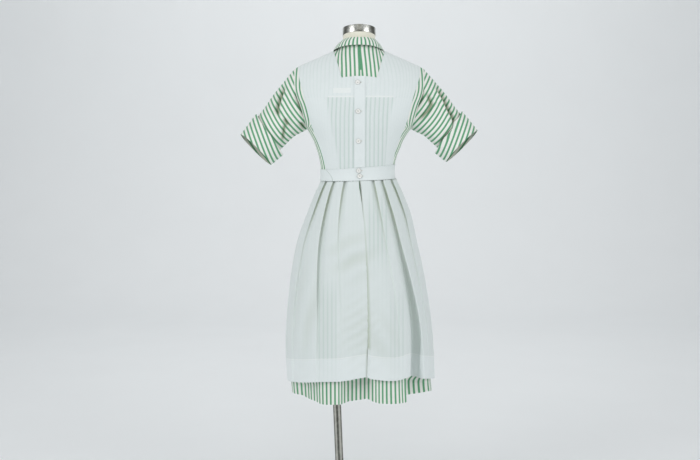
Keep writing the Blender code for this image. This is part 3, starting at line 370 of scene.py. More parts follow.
# How dark the painted shade in a pleat's hollow is, going down: deep in the gathers at the top and open to the light
# below
HOLLOW = Table(("down", "dark"), (
    (0.0, 0.50), (0.04, 0.85), (0.10, 0.85), (0.22, 0.55), (0.35, 0.35), (0.60, 0.28), (1.0, 0.10),
))
HOLLOW_FULL_DEPTH = 0.0070
FOLD_FROM_DEPTH = 0.0030
FOLD_FULL_DEPTH = 0.0080

# The apron's back opening: how far each edge lies from its middle line, going down
OPENING = Table(("down", "middle_deg", "half_gap", "left_tuck", "right_under", "left_under"), (
    (0.00, 0.2, 0.0012, 0.000, 0.0, 0.0),
    (0.03, 0.8, 0.0030, 0.000, 0.0, 0.0),
    (0.08, 1.7, 0.0010, 0.000, 0.0010, 0.0),
    (0.22, 3.36, 0.0, 0.001, 0.0040, 0.0),
    (0.46, 4.38, 0.0, 0.002, 0.0045, 0.0),
    (0.72, 4.58, 0.0, 0.003, 0.0040, 0.0),
    (0.86, 4.45, 0.0, 0.005, 0.0, 0.0010),
    (1.00, 4.24, 0.0, 0.010, 0.0, 0.0050),
))
OPENING_LAP_DEPTH = 0.0024
SCALLOP_LENGTH = 0.019
TUCK_SPREAD_DEG = 17.0

# Flares of the dress's hem: the angle and reach of each hollow, and how deep it is at the hem
FLARE_COLUMNS = ("from_deg", "floor_from", "floor_to", "to_deg", "depth_hem")
FLARES = (
    (-13.0, -7.0, 5.0, 9.5, 0.035),
    (38.5, 42.5, 56.0, 76.0, 0.046),
    (-74.0, -60.0, -40.0, -27.0, 0.018),
    (104.0, 116.0, 124.0, 136.0, 0.030),
    (-136.0, -124.0, -116.0, -104.0, 0.030),
    (168.0, 176.0, 184.0, 192.0, 0.030),
)
FLARE_START = 0.35
FLARE_FULL = 1.3

# How far each hem rises above its plain line, round the back
APRON_HEM_RISE = Table(("angle", "rise"), (
    (-180.0, 0.0),
    (-110.0, 0.0),
    (-90.0, -0.0060),
    (-78.0, -0.0020),
    (-66.0, 0.0),
    (-12.0, -0.0012),
    (-6.0, 0.0017),
    (0.0, 0.0069),
    (4.0, 0.0100),
    (6.0, 0.0064),
    (10.0, 0.0040),
    (16.0, 0.0017),
    (24.0, 0.0025),
    (29.0, 0.0060),
    (34.0, 0.0124),
    (38.0, 0.0160),
    (44.0, 0.0145),
    (50.0, 0.0112),
    (60.0, 0.0108),
    (70.0, 0.0074),
    (80.0, 0.0030),
    (90.0, -0.0040),
    (110.0, 0.0),
    (180.0, 0.0),
))
DRESS_HEM_RISE = Table(("angle", "rise"), (
    (-180.0, 0.0),
    (-84.0, 0.0),
    (-72.0, 0.0050),
    (-60.0, 0.0040),
    (-48.0, 0.0),
    (-36.0, -0.0040),
    (-24.0, -0.0040),
    (-12.0, -0.0010),
    (-4.0, 0.0020),
    (5.0, 0.0085),
    (9.0, 0.0070),
    (13.0, 0.0020),
    (24.0, -0.0020),
    (38.0, -0.0010),
    (48.0, 0.0030),
    (60.0, 0.0050),
    (72.0, 0.0110),
    (84.0, 0.0050),
    (92.0, 0.0),
    (180.0, 0.0),
))

# Soft drag folds of the apron: middle (x, z), reach, slope of the folds in degrees, spacing and height
DRAG_COLUMNS = ("x", "z", "reach_x", "reach_z", "slope_deg", "spacing", "height")
DRAG_FOLDS = (
    (0.004, 0.590, 0.055, 0.090, 32.0, 0.027, 0.0024),
    (-0.022, 0.800, 0.060, 0.060, 24.0, 0.058, 0.0036),
    (0.060, 0.560, 0.050, 0.070, -55.0, 0.060, 0.0020),
    (-0.150, 0.640, 0.050, 0.120, 78.0, 0.050, 0.0022),
)
SKIRT_STEP_DEG = 1.3
APRON_LEVELS = 56
DRESS_LEVELS_BELOW = 16
SIDE_SEAM_DEG = 90.0

# Buttons on the apron's placket and waistband, and on the dress's front
BUTTON_COLUMNS = ("name", "x", "height", "under", "facing")
BUTTONS = (
    ("apron_button_1", -0.0050, 1.2990, ("apron_placket",), -1.0),
    ("apron_button_2", -0.0040, 1.2160, ("apron_placket",), -1.0),
    ("apron_button_3", -0.0025, 1.1305, ("apron_placket",), -1.0),
    ("apron_button_4", -0.0018, 1.0445, ("apron_band_back_left", "apron_band_back_right"), -1.0),
    ("apron_button_5", 0.0010, 1.0285, ("apron_band_back_left", "apron_band_back_right"), -1.0),
    ("dress_button_1", 0.0, 1.3220, ("dress_front_left", "dress_front_right"), 1.0),
    ("dress_button_2", 0.0, 1.2700, ("dress_front_left", "dress_front_right"), 1.0),
)
BUTTON_RADIUS = 0.0072
BUTTON_THICKNESS = 0.0026
BUTTON_HOLE_PLACE = 0.0014
BUTTON_PROFILE_COLUMNS = ("of_radius", "of_thickness")
BUTTON_PROFILE = ((0.0, 0.0), (0.86, 0.0), (1.0, 0.5), (0.88, 1.0), (0.66, 0.96), (0.54, 0.64), (0.0, 0.60))
BUTTON_ROUNDING = 0.0009
THREAD_RADIUS = 0.00038
THREAD_RISE = 0.0006
THREAD_OVER = 0.0002
BUTTONHOLE_LENGTH = 0.0052
BUTTONHOLE_THREAD = 0.00042

# Placket strip down the apron's back
PLACKET_LEFT = -0.0155
PLACKET_RIGHT = 0.0175

# Dress form and stand
HIPS = Table(("height", "half_width", "back", "front"), (
    (WAIST, 0.1070, 0.0812, 0.0862),
    (1.012, 0.1010, 0.0760, 0.0800),
    (0.985, 0.1025, 0.0785, 0.0815),
    (0.950, 0.1100, 0.0865, 0.0875),
    (0.900, 0.1190, 0.0940, 0.0930),
    (0.850, 0.1230, 0.0970, 0.0950),
    (0.800, 0.1210, 0.0940, 0.0930),
    (0.780, 0.1160, 0.0890, 0.0890),
))
FORM_BOTTOM = 0.780
HIP_RINGS = 24
FORM_INSET = 0.0008
FORM_EASE = 0.0045
NECK_RINGS_COLUMNS = ("height", "half_width", "half_depth", "middle_y", "lean")
NECK_RINGS = (
    (1.4130, 0.0495, 0.0490, -0.0040, 0.10),
    (1.4270, 0.0480, 0.0480, -0.0020, 0.18),
    (1.4385, 0.0478, 0.0480, 0.0000, 0.21),
)
CAP_HEIGHT = 0.0225
CAP_RADIUS = 0.0490
POLE_RADIUS = 0.0125
POLE_FOOT_X = -0.0540
POLE_TOP_X = -0.0850
BASE_RADIUS = 0.170
BASE_THICKNESS = 0.008
HUB_RADIUS = 0.023
HUB_HEIGHT = 0.026
HUB_BEVEL = (0.001, 0.002)
CAP_ROUNDING = 0.0016
BASE_ROUNDING = 0.003
POLE_HEIGHT = FORM_BOTTOM - BASE_THICKNESS - 2.0 * SEAM_GAP
POLE_LEAN = (POLE_TOP_X - POLE_FOOT_X) / POLE_HEIGHT
# Painted reflections on the chrome cap and the pole: bands of light and dark round each one
REFLECTION_BANDS_ROUND = 6.0

# Between these lines the apron's bodice is a single layer, and the dress shows through
SHOW_EDGES = Table(("height", "left", "right"), (
    (1.048, -0.0596, 0.0750),
    (1.110, -0.0669, 0.0770),
    (1.197, -0.0852, 0.0860),
    (1.262, -0.0980, 0.1040),
))

# The stripes seen through the apron's skirt hang straight: where one of them lies, and their pitch against the cloth's
UNDER_STRIPE_X = 0.0296
UNDER_STRIPE_SCALE = 1.033

# Places where the apron lies close on the dress's skirt, so that its stripes show: x and z ranges
SHOW_COLUMNS = ("x_from", "x_to", "z_from", "z_to", "strength")
SHOW_BOXES = (
    (0.022, 0.086, 0.790, 0.960, 1.0),
    (-0.1205, -0.0655, 0.440, 0.720, 0.90),
    (0.088, 0.130, 0.440, 0.680, 0.70),
    (-0.030, 0.100, 0.440, 0.800, 0.12),
)

# Where the middles of the dress's stripes lie along its back hem, in folds and flares: x from left to right
HEM_STRIPE_X = (
    -0.1833, -0.1692, -0.1573, -0.1476, -0.1407, -0.1311, -0.1228, -0.1148, -0.1057, -0.0943, -0.0826, -0.0701, -0.0588,
    -0.0507, -0.0429, -0.0325, -0.0206, -0.0089, 0.0039, 0.0159, 0.0273, 0.0389, 0.0482, 0.0575, 0.0680, 0.0799, 0.0928,
    0.1061, 0.1179, 0.1269, 0.1353, 0.1500, 0.1650, 0.1801, 0.1952, 0.2100,
)

# Stripes of the cotton
STRIPE_PITCH = 0.0125
STRIPE_HALF = 0.00265
STRIPE_SOFT = 0.0006

# Camera and light
CAMERA_PLACE = (-0.027, -3.15, 1.16)
CAMERA_PITCH_DEG = 5.4
CAMERA_LENS = 54.0

# Size each cloth piece is cut to, how it is held and what carries it
SHEET_COLUMNS = ("piece", "width", "length", "area", "held", "rests_on")
SHEETS = (
    ("dress_back_left", 0.260, 0.430, 0.074, "draped", ("form_torso",)),
    ("dress_back_right", 0.260, 0.430, 0.072, "draped", ("form_torso",)),
    ("dress_front_left", 0.260, 0.410, 0.072, "draped", ("form_torso",)),
    ("dress_front_right", 0.260, 0.410, 0.072, "draped", ("form_torso",)),
    ("dress_sleeve_left", 0.400, 0.250, 0.074, "draped", ("dress_back_left", "dress_front_left")),
    ("dress_sleeve_right", 0.400, 0.250, 0.073, "draped", ("dress_back_right", "dress_front_right")),
    ("dress_cuff_left", 0.400, 0.060, 0.0225, "folded", ("dress_sleeve_left",)),
    ("dress_cuff_right", 0.400, 0.060, 0.0222, "folded", ("dress_sleeve_right",)),
    ("dress_collar", 0.460, 0.080, 0.028, "folded", ("dress_back_left", "dress_back_right")),
    ("dress_skirt_back", 0.660, 0.680, 0.375, "hung", ("form_torso",)),
    ("dress_skirt_front", 0.660, 0.680, 0.382, "hung", ("form_torso",)),
    ("apron_back_left", 0.200, 0.350, 0.053, "draped", ("dress_back_left",)),
    ("apron_back_right", 0.200, 0.350, 0.050, "draped", ("dress_back_right",)),
    ("apron_placket", 0.033, 0.265, 0.0087, "draped", ("apron_back_left", "apron_back_right")),
    ("apron_bib", 0.360, 0.380, 0.100, "draped", ("dress_front_left", "dress_front_right")),
    ("apron_band_back_left", 0.165, 0.040, 0.0062, "draped", ("dress_back_left",)),
    ("apron_band_back_right", 0.170, 0.042, 0.0068, "draped", ("dress_back_right",)),
    ("apron_band_front", 0.330, 0.040, 0.0126, "draped", ("dress_front_left", "dress_front_right")),
    ("apron_skirt_left", 0.360, 0.600, 0.187, "hung", ("apron_band_back_left",)),
    ("apron_skirt_right", 0.340, 0.600, 0.178, "hung", ("apron_band_back_right",)),
    ("apron_skirt_front", 0.760, 0.600, 0.400, "hung", ("apron_band_front",)),
)


# Small helpers

def smooth(share):
    share = min(1.0, max(0.0, share))
    return share * share * (3.0 - 2.0 * share)


def lengths_along(points):
    """How far each point lies along a line of points."""
    steps = np.linalg.norm(np.diff(points, axis=0), axis=1)
    return np.concatenate(([0.0], np.cumsum(steps)))


def put(name, data):
    obj = bpy.data.objects.new(name, data)
    bpy.context.scene.collection.objects.link(obj)
    return obj


# The body

def ridge_height(x):
    """Height of the shoulder ridge, which climbs on towards the middle to leave the neckline open."""
    x = abs(x)
    if x >= NECK_POINT_X:
        slope = (SHOULDER_TIP_Z - NECK_POINT_Z) / (SHOULDER_TIP_X - NECK_POINT_X)
        return NECK_POINT_Z + slope * (x - NECK_POINT_X)
    return NECK_POINT_Z + RIDGE_RISE * (1.0 - (x / NECK_POINT_X) ** 2)


def body_depth(face, x, z):
    """How far the body's surface stands from the side line, at a place seen from the back or front."""
    half_width = TORSO.read("half_width", z)
    depth = TORSO.read(face, z)
    across = min(1.0, abs(x) / half_width)
    depth *= (1.0 - across**SECTION_POWER) ** (1.0 / SECTION_POWER)
    if z > ROUNDING_START:
        up = min(1.0, (z - ROUNDING_START) / (ridge_height(x) - ROUNDING_START))
        depth *= (1.0 - up**ROUNDING_POWER) ** (1.0 / ROUNDING_POWER)
    if face == "front":
        away = ((abs(x) - BUST_X) ** 2 + (z - BUST_Z) ** 2) / BUST_SPREAD**2
        depth += BUST_DEPTH * math.exp(-away) * smooth(depth / 0.05)
    return depth


def body_point(face, side, x, z):
    depth = body_depth(face, x, z)
    return (side * x, -depth if face == "back" else depth, z)


def side_x(z):
    if z <= ARMPIT:
        return TORSO.read("half_width", z)
    return ARMHOLE.read("x", z)


def net_columns(split):
    """Each column of the net as the two key columns it lies between and its share of the way."""
    columns = [("centre", "neck_point", 0.0)]
    spans = (
        ("centre", "neck_point", CELLS_TO_NECK_POINT * split),
        ("neck_point", "neck_side", CELLS_TO_NECK_SIDE * split),
        ("neck_side", "apron_edge", CELLS_TO_APRON_EDGE * split),
        ("apron_edge", "side", CELLS_TO_SIDE * split),
    )
    for low, high, cells in spans:
        columns += [(low, high, (i + 1) / cells) for i in range(cells)]
    return columns


def key_x(key, face, side, z):
    if key == "centre":
        return 0.0
    if key == "neck_point":
        return NECK_COLUMN.read("x", z)
    if key == "neck_side":
        return NECK_SIDE.read_straight(face + "_x", z)
    if key == "apron_edge":
        side_name = "left" if side < 0 else "right"
        return min(APRON_EDGE.read(side_name, z), side_x(z) - 0.001)
    return side_x(z)


def column_x(column, face, side, z):
    """Where a column crosses a height, spaced by angle round the section."""
    low, high, share = column
    half_width = TORSO.read("half_width", z)
    angles = [math.asin(min(1.0, key_x(key, face, side, z) / half_width)) for key in (low, high)]
    return half_width * math.sin(angles[0] + (angles[1] - angles[0]) * share)


def column_top(column, face, side):
    """Height at which a column meets the neckline or the shoulder line."""
    low, _, share = column
    if low == "centre":
        middle = BACK_NECK_Z if face == "back" else FRONT_NECK_Z
        return middle + (NECK_POINT_Z - middle) * share**2
    z = NECK_POINT_Z
    for _ in range(8):
        z = ridge_height(column_x(column, face, side, z))
    return z


def band_tilt(share):
    """How much the band's slanting top still slants the rows above it, up to the armpit."""
    return BAND_TILT_TOP * max(0.0, 1.0 - share / ARMPIT_ROW_SHARE) ** 2


def share_at(row):
    i = min(int(row), len(ROW_SHARES) - 2)
    return ROW_SHARES[i] + (ROW_SHARES[i + 1] - ROW_SHARES[i]) * (row - i)


def torso_grid(face, side):
    """Rows from the band's bottom to the neck and shoulder. Rows 0 to 2 are the band's bottom, the waist and its top."""
    columns = net_columns(COLUMN_SPLIT)
    tops = [column_top(column, face, side) for column in columns]
    at_waist = [side * column_x(column, face, side, WAIST) for column in columns]
    rows = []
    for step in range((len(ROW_SHARES) + 1) * ROW_SPLIT + 1):
        row = step / ROW_SPLIT
        points = []
        for column, top, tilt_x in zip(columns, tops, at_waist):
            if row <= 1.0:
                low = BAND_BOTTOM + BAND_TILT_BOTTOM * tilt_x
                z = low + (WAIST - low) * row
            elif row < 2.0:
                z = WAIST + (BAND_TOP + BAND_TILT_TOP * tilt_x - WAIST) * (row - 1.0)
            else:
                share = share_at(row - 2.0)
                z = BAND_TOP + band_tilt(share) * tilt_x + (SHOULDER_TIP_Z - BAND_TOP) * share
                z += (top - SHOULDER_TIP_Z) * share**NECK_CLIMB_POWER
            x, y, z = body_point(face, side, column_x(column, face, side, z), z)
            x += BODY_LEAN.read("x", z) * min(1.0, (x / side_x(z)) ** 2)
            if face == "back":
                near = max(0.0, 1.0 - abs(x) / SEAM_DRIFT_REACH)
                x += SEAM_DRIFT.read("x", z) * smooth(near)
            points.append((x, y, z))
        rows.append(points)
    return np.array(rows)


def sleeve_axes(row):
    """The directions across the sleeve, out along it and towards the back, and the middle of its opening."""
    side_name, end_x, end_z, _, _, slope_deg = row
    side = -1 if side_name == "left" else 1
    slope = math.radians(slope_deg)
    across = np.array((side * math.sin(slope), 0.0, math.cos(slope)))
    outward = np.array((math.cos(slope) * side, 0.0, -math.sin(slope)))
    return across, outward, np.array((0.0, -1.0, 0.0)), np.array((end_x, 0.0, end_z))


def sleeve_grid(armhole, row):
    """Rings of points from the armhole to the opening. The loop starts and ends at the armpit."""
    across, outward, back, middle = sleeve_axes(row)
    half_width, half_depth = row[3], row[4]
    lengths = lengths_along(armhole)
    angles = math.pi - 2.0 * math.pi * lengths / lengths[-1]
    rise, turn = np.cos(angles)[:, None], np.sin(angles)[:, None]
    end = middle + across * (rise * half_width) + back * (turn * half_depth) - outward * (SLEEVE_OPENING_LEAN * turn)
    rings = []
    for i in range(SLEEVE_RING_COUNT + 1):
        down = i / SLEEVE_RING_COUNT
        ring = armhole * (1.0 - down) + end * down
        ring = ring + across * (SLEEVE_TOP_BULGE * 4.0 * down * (1.0 - down) * np.maximum(0.0, rise))
        ring[-1] = ring[0]
        rings.append(ring)
    return np.array(rings)


class Net:
    """Points of one surface, with its patches as grids of point numbers, welded where patches meet."""

    def __init__(self):
        self.points = []
        self.index = {}
        self.grids = {}
        self.signs = {}
        self.maps = {}

    def add(self, name, grid, sign, maps):
        """sign is 1 where across the columns, then up the rows, turns outwards. maps holds grids of values by name."""
        ids = np.zeros(grid.shape[:2], int)
        for r in range(grid.shape[0]):
            for c in range(grid.shape[1]):
                key = tuple(round(float(value), 6) for value in grid[r, c])
                if key not in self.index:
                    self.index[key] = len(self.points)
                    self.points.append(grid[r, c])
                ids[r, c] = self.index[key]
        self.grids[name] = ids
        self.signs[name] = sign
        self.maps[name] = maps

    def cells(self, patch, r0=0, r1=None, c0=0, c1=None):
        """Each cell between two rows and two columns: its point numbers, turned outwards, and their grid places."""
        ids = self.grids[patch]
        for r in range(r0, ids.shape[0] - 1 if r1 is None else r1):
            for c in range(c0, ids.shape[1] - 1 if c1 is None else c1):
                places = {}
                for place in ((r, c), (r, c + 1), (r + 1, c + 1), (r + 1, c))[:: self.signs[patch]]:
                    places.setdefault(int(ids[place]), place)
                if len(places) > 2:
                    yield list(places), list(places.values())

    def normals(self, points):
        """The outward direction at each point."""
        total = np.zeros_like(points)
        for name, ids in self.grids.items():
            a, b, c, d = ids[:-1, :-1], ids[:-1, 1:], ids[1:, 1:], ids[1:, :-1]
            facing = np.cross(points[c] - points[a], points[d] - points[b]) * self.signs[name]
            for corner in (a, b, c, d):
                np.add.at(total, corner.ravel(), facing.reshape(-1, 3))
        return total / np.maximum(np.linalg.norm(total, axis=1), 1e-12)[:, None]


def arc_lengths(grid):
    """How far each point of a grid lies along its row."""
    steps = np.linalg.norm(np.diff(grid, axis=1), axis=2)
    return np.concatenate((np.zeros((grid.shape[0], 1)), np.cumsum(steps, axis=1)), axis=1)


def body_maps(grid, face, side):
    """Cloth coordinates of a torso patch: across the stripes, with a stripe's middle at 0, and the height."""
    along = arc_lengths(grid)
    height = grid[:, :, 2]
    if face == "back":
        across = along - 0.0293 * (1.395 - np.maximum(height, 1.30)) - 0.00255
    else:
        across = along - STRIPE_PITCH / 2
    total = along[:, -1:]
    widest = 0.2075
    columns = np.linspace(0.0, 1.0, grid.shape[1])[None, :]
    outer = np.clip((columns - 0.62) / 0.16, 0.0, 1.0)
    outer = outer * outer * (3.0 - 2.0 * outer)
    from_side = widest - (total - along)
    across = across * (1.0 - outer) + from_side * outer
    signed = along * side
    rows = np.broadcast_to((np.arange(grid.shape[0]) / ROW_SPLIT)[:, None], along.shape)
    return {
        "cloth": np.stack((across, height), axis=2),
        "plain": np.stack((signed, height), axis=2),
        "rows": np.stack((signed, rows), axis=2),
    }


def sleeve_maps(grid, row):
    """Cloth coordinates of a sleeve: the stripes run across it and bend towards the cuff at its top edge."""
    across, outward, _, middle = sleeve_axes(row)
    half_width = row[3]
    along = (grid - middle) @ outward
    up = (grid - middle) @ across
    curved = along + SLEEVE_STRIPE_CURVE * (up + half_width) ** 2 / (4.0 * half_width)
    turn = math.radians(CUFF_STRIPE_DEG)
    cuff = along * math.cos(turn) + up * math.sin(turn)
    return {"cloth": np.stack((curved, up), axis=2), "cuff": np.stack((cuff, up), axis=2)}


def dress_net():
    """The dress's inner surface from the band's bottom to the neck, with both sleeves."""
    net = Net()
    armpit_row = (2 + ROW_SHARES.index(ARMPIT_ROW_SHARE)) * ROW_SPLIT
    for side_name, side in (("left", -1), ("right", 1)):
        grids = {face: torso_grid(face, side) for face in ("back", "front")}
        for face, grid in grids.items():
            sign = side if face == "back" else -side
            net.add(f"{face}_{side_name}", grid, sign, body_maps(grid, face, side))
        armhole = np.concatenate((grids["back"][armpit_row:, -1], grids["front"][armpit_row:, -1][::-1][1:]))
        row = next(row for row in SLEEVES if row[0] == side_name)
        grid = sleeve_grid(armhole, row)
        net.add(f"sleeve_{side_name}", grid, -side, sleeve_maps(grid, row))
    return net


def distance_to_line(places, line):
    """Distance of places (x, z) to a bent line, the signed side they lie on and how far along it they are."""
    best = np.full(len(places), 1e9)
    side = np.zeros(len(places))
    along = np.zeros(len(places))
    for i, (start, end) in enumerate(zip(line, line[1:])):
        start, end = np.array(start), np.array(end)
        run = end - start
        share = np.clip(((places - start) @ run) / (run @ run), 0.0, 1.0)
        away = places - (start + share[:, None] * run)
        far = np.linalg.norm(away, axis=1)
        nearer = far < best
        cross = run[0] * away[:, 1] - run[1] * away[:, 0]
        best = np.where(nearer, far, best)
        side = np.where(nearer, np.sign(cross), side)
        along = np.where(nearer, (i + share) / (len(line) - 1), along)
    return best, side, along


def creased(points, normals, part_ids, part):
    """Moves a part's points along their normals into its creases, and says how deep each point then lies, which is
    painted as shade in the crease.
    """
    moved = points.copy()
    shade = np.zeros(len(points))
    ids = np.unique(part_ids)
    places = points[ids][:, [0, 2]]
    facing = np.clip(-normals[ids][:, 1] / 0.35, 0.0, 1.0)
    for name, line, width, depth, ridge, ridge_side in CREASES:
        if name != part:
            continue
        far, side, along = distance_to_line(places, line)
        ends = np.clip(np.minimum(along, 1.0 - along) / 0.22 + 0.25, 0.0, 1.0)
        hollow = np.exp(-((far / width) ** 2)) * ends * facing
        beside = np.exp(-(((far * side * ridge_side - 1.7 * width) / (1.1 * width)) ** 2)) * ends * facing
        shift = -depth * hollow + ridge * beside
        moved[ids] += normals[ids] * shift[:, None]
        shade[ids] = np.maximum(shade[ids], hollow)
    return moved, shade


def sleeve_drawn_in(net, points):
    """The sleeves inside their cuffs: the underarm rises and the top drops a little before the cuff."""
    moved = points.copy()
    for row in SLEEVES:
        across = sleeve_axes(row)[0]
        ids = net.grids[f"sleeve_{row[0]}"]
        rings, around = ids.shape
        turn = np.linspace(math.pi, -math.pi, around)
        rise = np.cos(turn)
        for r in range(rings):
            down = r / (rings - 1)
            fade = smooth((1.0 - down) / (1.0 - CUFF_START))
            under = UNDERARM_RISE * smooth(down / 0.34) * fade
            over = SLEEVE_TOP_DROP * smooth((down - 0.35) / 0.30) * fade
            lift = under * np.maximum(0.0, -rise) ** 1.3 - over * np.maximum(0.0, rise) ** 2
            moved[ids[r, :-1]] = points[ids[r, :-1]] + across * lift[:-1, None]
    return moved


# Cloth pieces

def draw_in(points, rim):
    """How far each point of an edge moves inwards, so that pieces meet with a hair's gap."""
    facing = {}
    for a, b, c in rim:
        along = points[b] - points[a]
        along = along / max(np.linalg.norm(along), 1e-9)
        inwards = points[c] - points[a]
        inwards = inwards - along * (inwards @ along)
        inwards = inwards / max(np.linalg.norm(inwards), 1e-9)
        facing.setdefault(a, []).append(inwards)
        facing.setdefault(b, []).append(inwards)
    moved = {}
    for i, sides in facing.items():
        share = max(0.4, 1.0 + float(sides[0] @ sides[-1]))
        moved[i] = sum(sides) * (SEAM_GAP * 0.5 / share)
    return moved


def make_mesh(name, verts, faces, uvs, values, finish, slot):
    """A mesh piece with its UV maps and its values at each vertex."""
    data = bpy.data.meshes.new(name)
    data.from_pydata(verts, [], faces)
    for map_name, corners in uvs.items():
        layer = data.uv_layers.new(name=map_name)
        layer.data.foreach_set("uv", np.array(corners, np.float32).ravel())
    for value_name, numbers in values.items():
        attribute = data.attributes.new(value_name, "FLOAT", "POINT")
        attribute.data.foreach_set("value", np.array(numbers, np.float32))
    data.materials.append(finish)
    data.shade_smooth()
    data.set_sharp_from_angle(angle=math.radians(50.0))
    obj = put(name, data)
    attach(obj, "root")
    return obj


def cloth(name, net, points, normals, blocks, layer, finish, slot, map_names, values, lift=None):
    """A thin closed wall over blocks (patch, first row, last row, first column, last column) of a net."""
    quads, corners = [], {key: [] for key in map_names}
    for patch, r0, r1, c0, c1 in blocks:
        for quad, used in net.cells(patch, r0, r1, c0, c1):
            quads.append(quad)
            for key, source in map_names.items():
                corners[key].append([net.maps[patch][source][place] for place in used])
    uses = {}
    for quad in quads:
        for a, b, c in zip(quad, quad[1:] + quad[:1], quad[2:] + quad[:2]):
            uses.setdefault(frozenset((a, b)), []).append((a, b, c))
    rim = [edges[0] for edges in uses.values() if len(edges) == 1]
    inwards = draw_in(points, rim)
    order = sorted({i for quad in quads for i in quad})
    number = {i: k for k, i in enumerate(order)}
    raised = {i: 0.0 if lift is None else lift[i] for i in order}
    verts = []
    for height in (layer[1], layer[0]):
        for i in order:
            verts.append(tuple(points[i] + inwards.get(i, 0.0) + normals[i] * (height + raised[i])))
    count = len(order)
    faces = [[number[i] for i in quad] for quad in quads]
    faces += [[number[i] + count for i in reversed(quad)] for quad in quads]
    by_corner = {key: {} for key in map_names}
    for key, cells in corners.items():
        for quad, cell in zip(quads, cells):
            for i, value in zip(quad, cell):
                by_corner[key].setdefault(i, value)
    for a, b, _ in rim:
        faces.append([number[a], number[a] + count, number[b] + count, number[b]])
    uvs = {}
    for key, cells in corners.items():
        flat = [value for cell in cells for value in cell]
        flat += [value for cell in cells for value in reversed(cell)]
        for a, b, _ in rim:
            flat += [by_corner[key][a], by_corner[key][a], by_corner[key][b], by_corner[key][b]]
        uvs[key] = flat
    numbers = {key: [float(source[i]) for i in order] * 2 for key, source in values.items()}
    obj = make_mesh(name, verts, faces, uvs, numbers, finish, slot)
    return obj


# Skirts

def pleat_values(row, down):
    """A pleat's edge angle, width, depth and outward turn at a level."""
    edge_top, edge_hem, width_top, width_hem, depth_top, depth_mid, depth_hem = row
    edge = edge_top + (edge_hem - edge_top) * smooth(down / 0.8)
    width = width_top + (width_hem - width_top) * down
    if down < PLEAT_MID:
        depth = depth_top + (depth_mid - depth_top) * down / PLEAT_MID
    else:
        depth = depth_mid + (depth_hem - depth_mid) * (down - PLEAT_MID) / (1.0 - PLEAT_MID)
    outwards = 1.0 if edge > 0 else -1.0
    if abs(edge) > SIDE_SEAM_DEG:
        outwards = -outwards
    return edge, width, depth, outwards


def pleat_depth(angle, down):
    """How far the apron's surface lies inside its plain form, at an angle in degrees."""
    total = 0.0
    for row in PLEATS:
        edge, width, depth, outwards = pleat_values(row, down)
        across = (angle - edge) * outwards / width
        if -1.0 < across < 1.1:
            total += depth * PLAIN_SECTION.read_straight("depth", across)
    return total


def tuck_depth(angle, down):
    """The left back panel turns in under the right one towards the hem."""
    middle = OPENING.read_straight("middle_deg", down)
    away = (middle - angle) / TUCK_SPREAD_DEG
    if not 0.0 <= away < 1.0:
        return 0.0
    return OPENING.read_straight("left_tuck", down) * (1.0 - away) ** 2


def flare_depth(angle, down):
    """Hollows between the flares of the dress's skirt."""
    total = 0.0
    for start, floor_from, floor_to, end, depth in FLARES:
        turned = angle + 360.0 if end > 180.0 and angle < 0.0 else angle
        if not start < turned < end:
            continue
        fall_in = smooth((turned - start) / (floor_from - start))
        fall_out = smooth((end - turned) / (end - floor_to))
        total = max(total, depth * min(fall_in, fall_out))
    return total * smooth((down - FLARE_START) / (FLARE_FULL - FLARE_START))


def ring_point(half_width, back, front, angle, inwards):
    """A place on a skirt's section at an angle from the centre back, moved inwards."""
    turn = math.radians(angle)
    depth = back if math.cos(turn) >= 0.0 else front
    power = 2.0 / SKIRT_POWER
    x = (half_width - inwards) * math.copysign(abs(math.sin(turn)) ** power, math.sin(turn))
    y = -(depth - inwards) * math.copysign(abs(math.cos(turn)) ** power, math.cos(turn))
    return x, y


def skirt_point(table, angle, z, inwards):
    values = [table.read(column, z) for column in ("half_width", "back", "front")]
    return (*ring_point(*values, angle, inwards), z)


def apron_height(angle, down):
    across = skirt_point(TORSO, angle, WAIST, 0.0)[0]
    top = BAND_BOTTOM - SEAM_GAP + BAND_TILT_BOTTOM * across
    hem = APRON_HEM - APRON_HEM_SIDE_DROP * math.sin(math.radians(angle)) ** 2
    rise = APRON_HEM_RISE.read_straight("rise", angle)
    return top + (hem - top) * down + rise * smooth((down - 0.5) / 0.5)


def shifted_sideways(rows):
    """Rows of a skirt, leaned a little as the uniform hangs on the form."""
    heights = np.linspace(DRESS_HEM - 0.02, WAIST, 160)
    lean = np.array([SKIRT_LEAN.read("x", z) for z in heights])
    width = np.array([APRON_SKIRT.read("half_width", z) for z in heights])
    moved = rows.copy()
    z = rows[:, :, 2]
    outer = np.minimum(1.0, (rows[:, :, 0] / np.interp(z, heights, width)) ** 2)
    moved[:, :, 0] += np.interp(z, heights, lean) * outer
    return moved


def dragged(rows):
    """Rows of the apron's skirt with its soft drag folds, and the painted shade in each fold's hollow."""
    moved, dark = rows.copy(), np.zeros(rows.shape[:2])
    x, z = rows[:, :, 0], rows[:, :, 2]
    behind = rows[:, :, 1] < 0.0
    for middle_x, middle_z, reach_x, reach_z, slope, spacing, height in DRAG_FOLDS:
        near = np.exp(-(((x - middle_x) / reach_x) ** 2) - ((z - middle_z) / reach_z) ** 2) * behind
        turn = math.radians(slope)
        across = (z - middle_z) * math.cos(turn) - (x - middle_x) * math.sin(turn)
        wobble = 0.35 * np.sin(x * 61.0 + z * 23.0)
        wave = np.sin(2.0 * math.pi * across / spacing + wobble)
        moved[:, :, 1] -= wave * near * height
        dark = np.maximum(dark, near * (0.5 - 0.5 * wave) * height * 75.0)
    return moved, dark


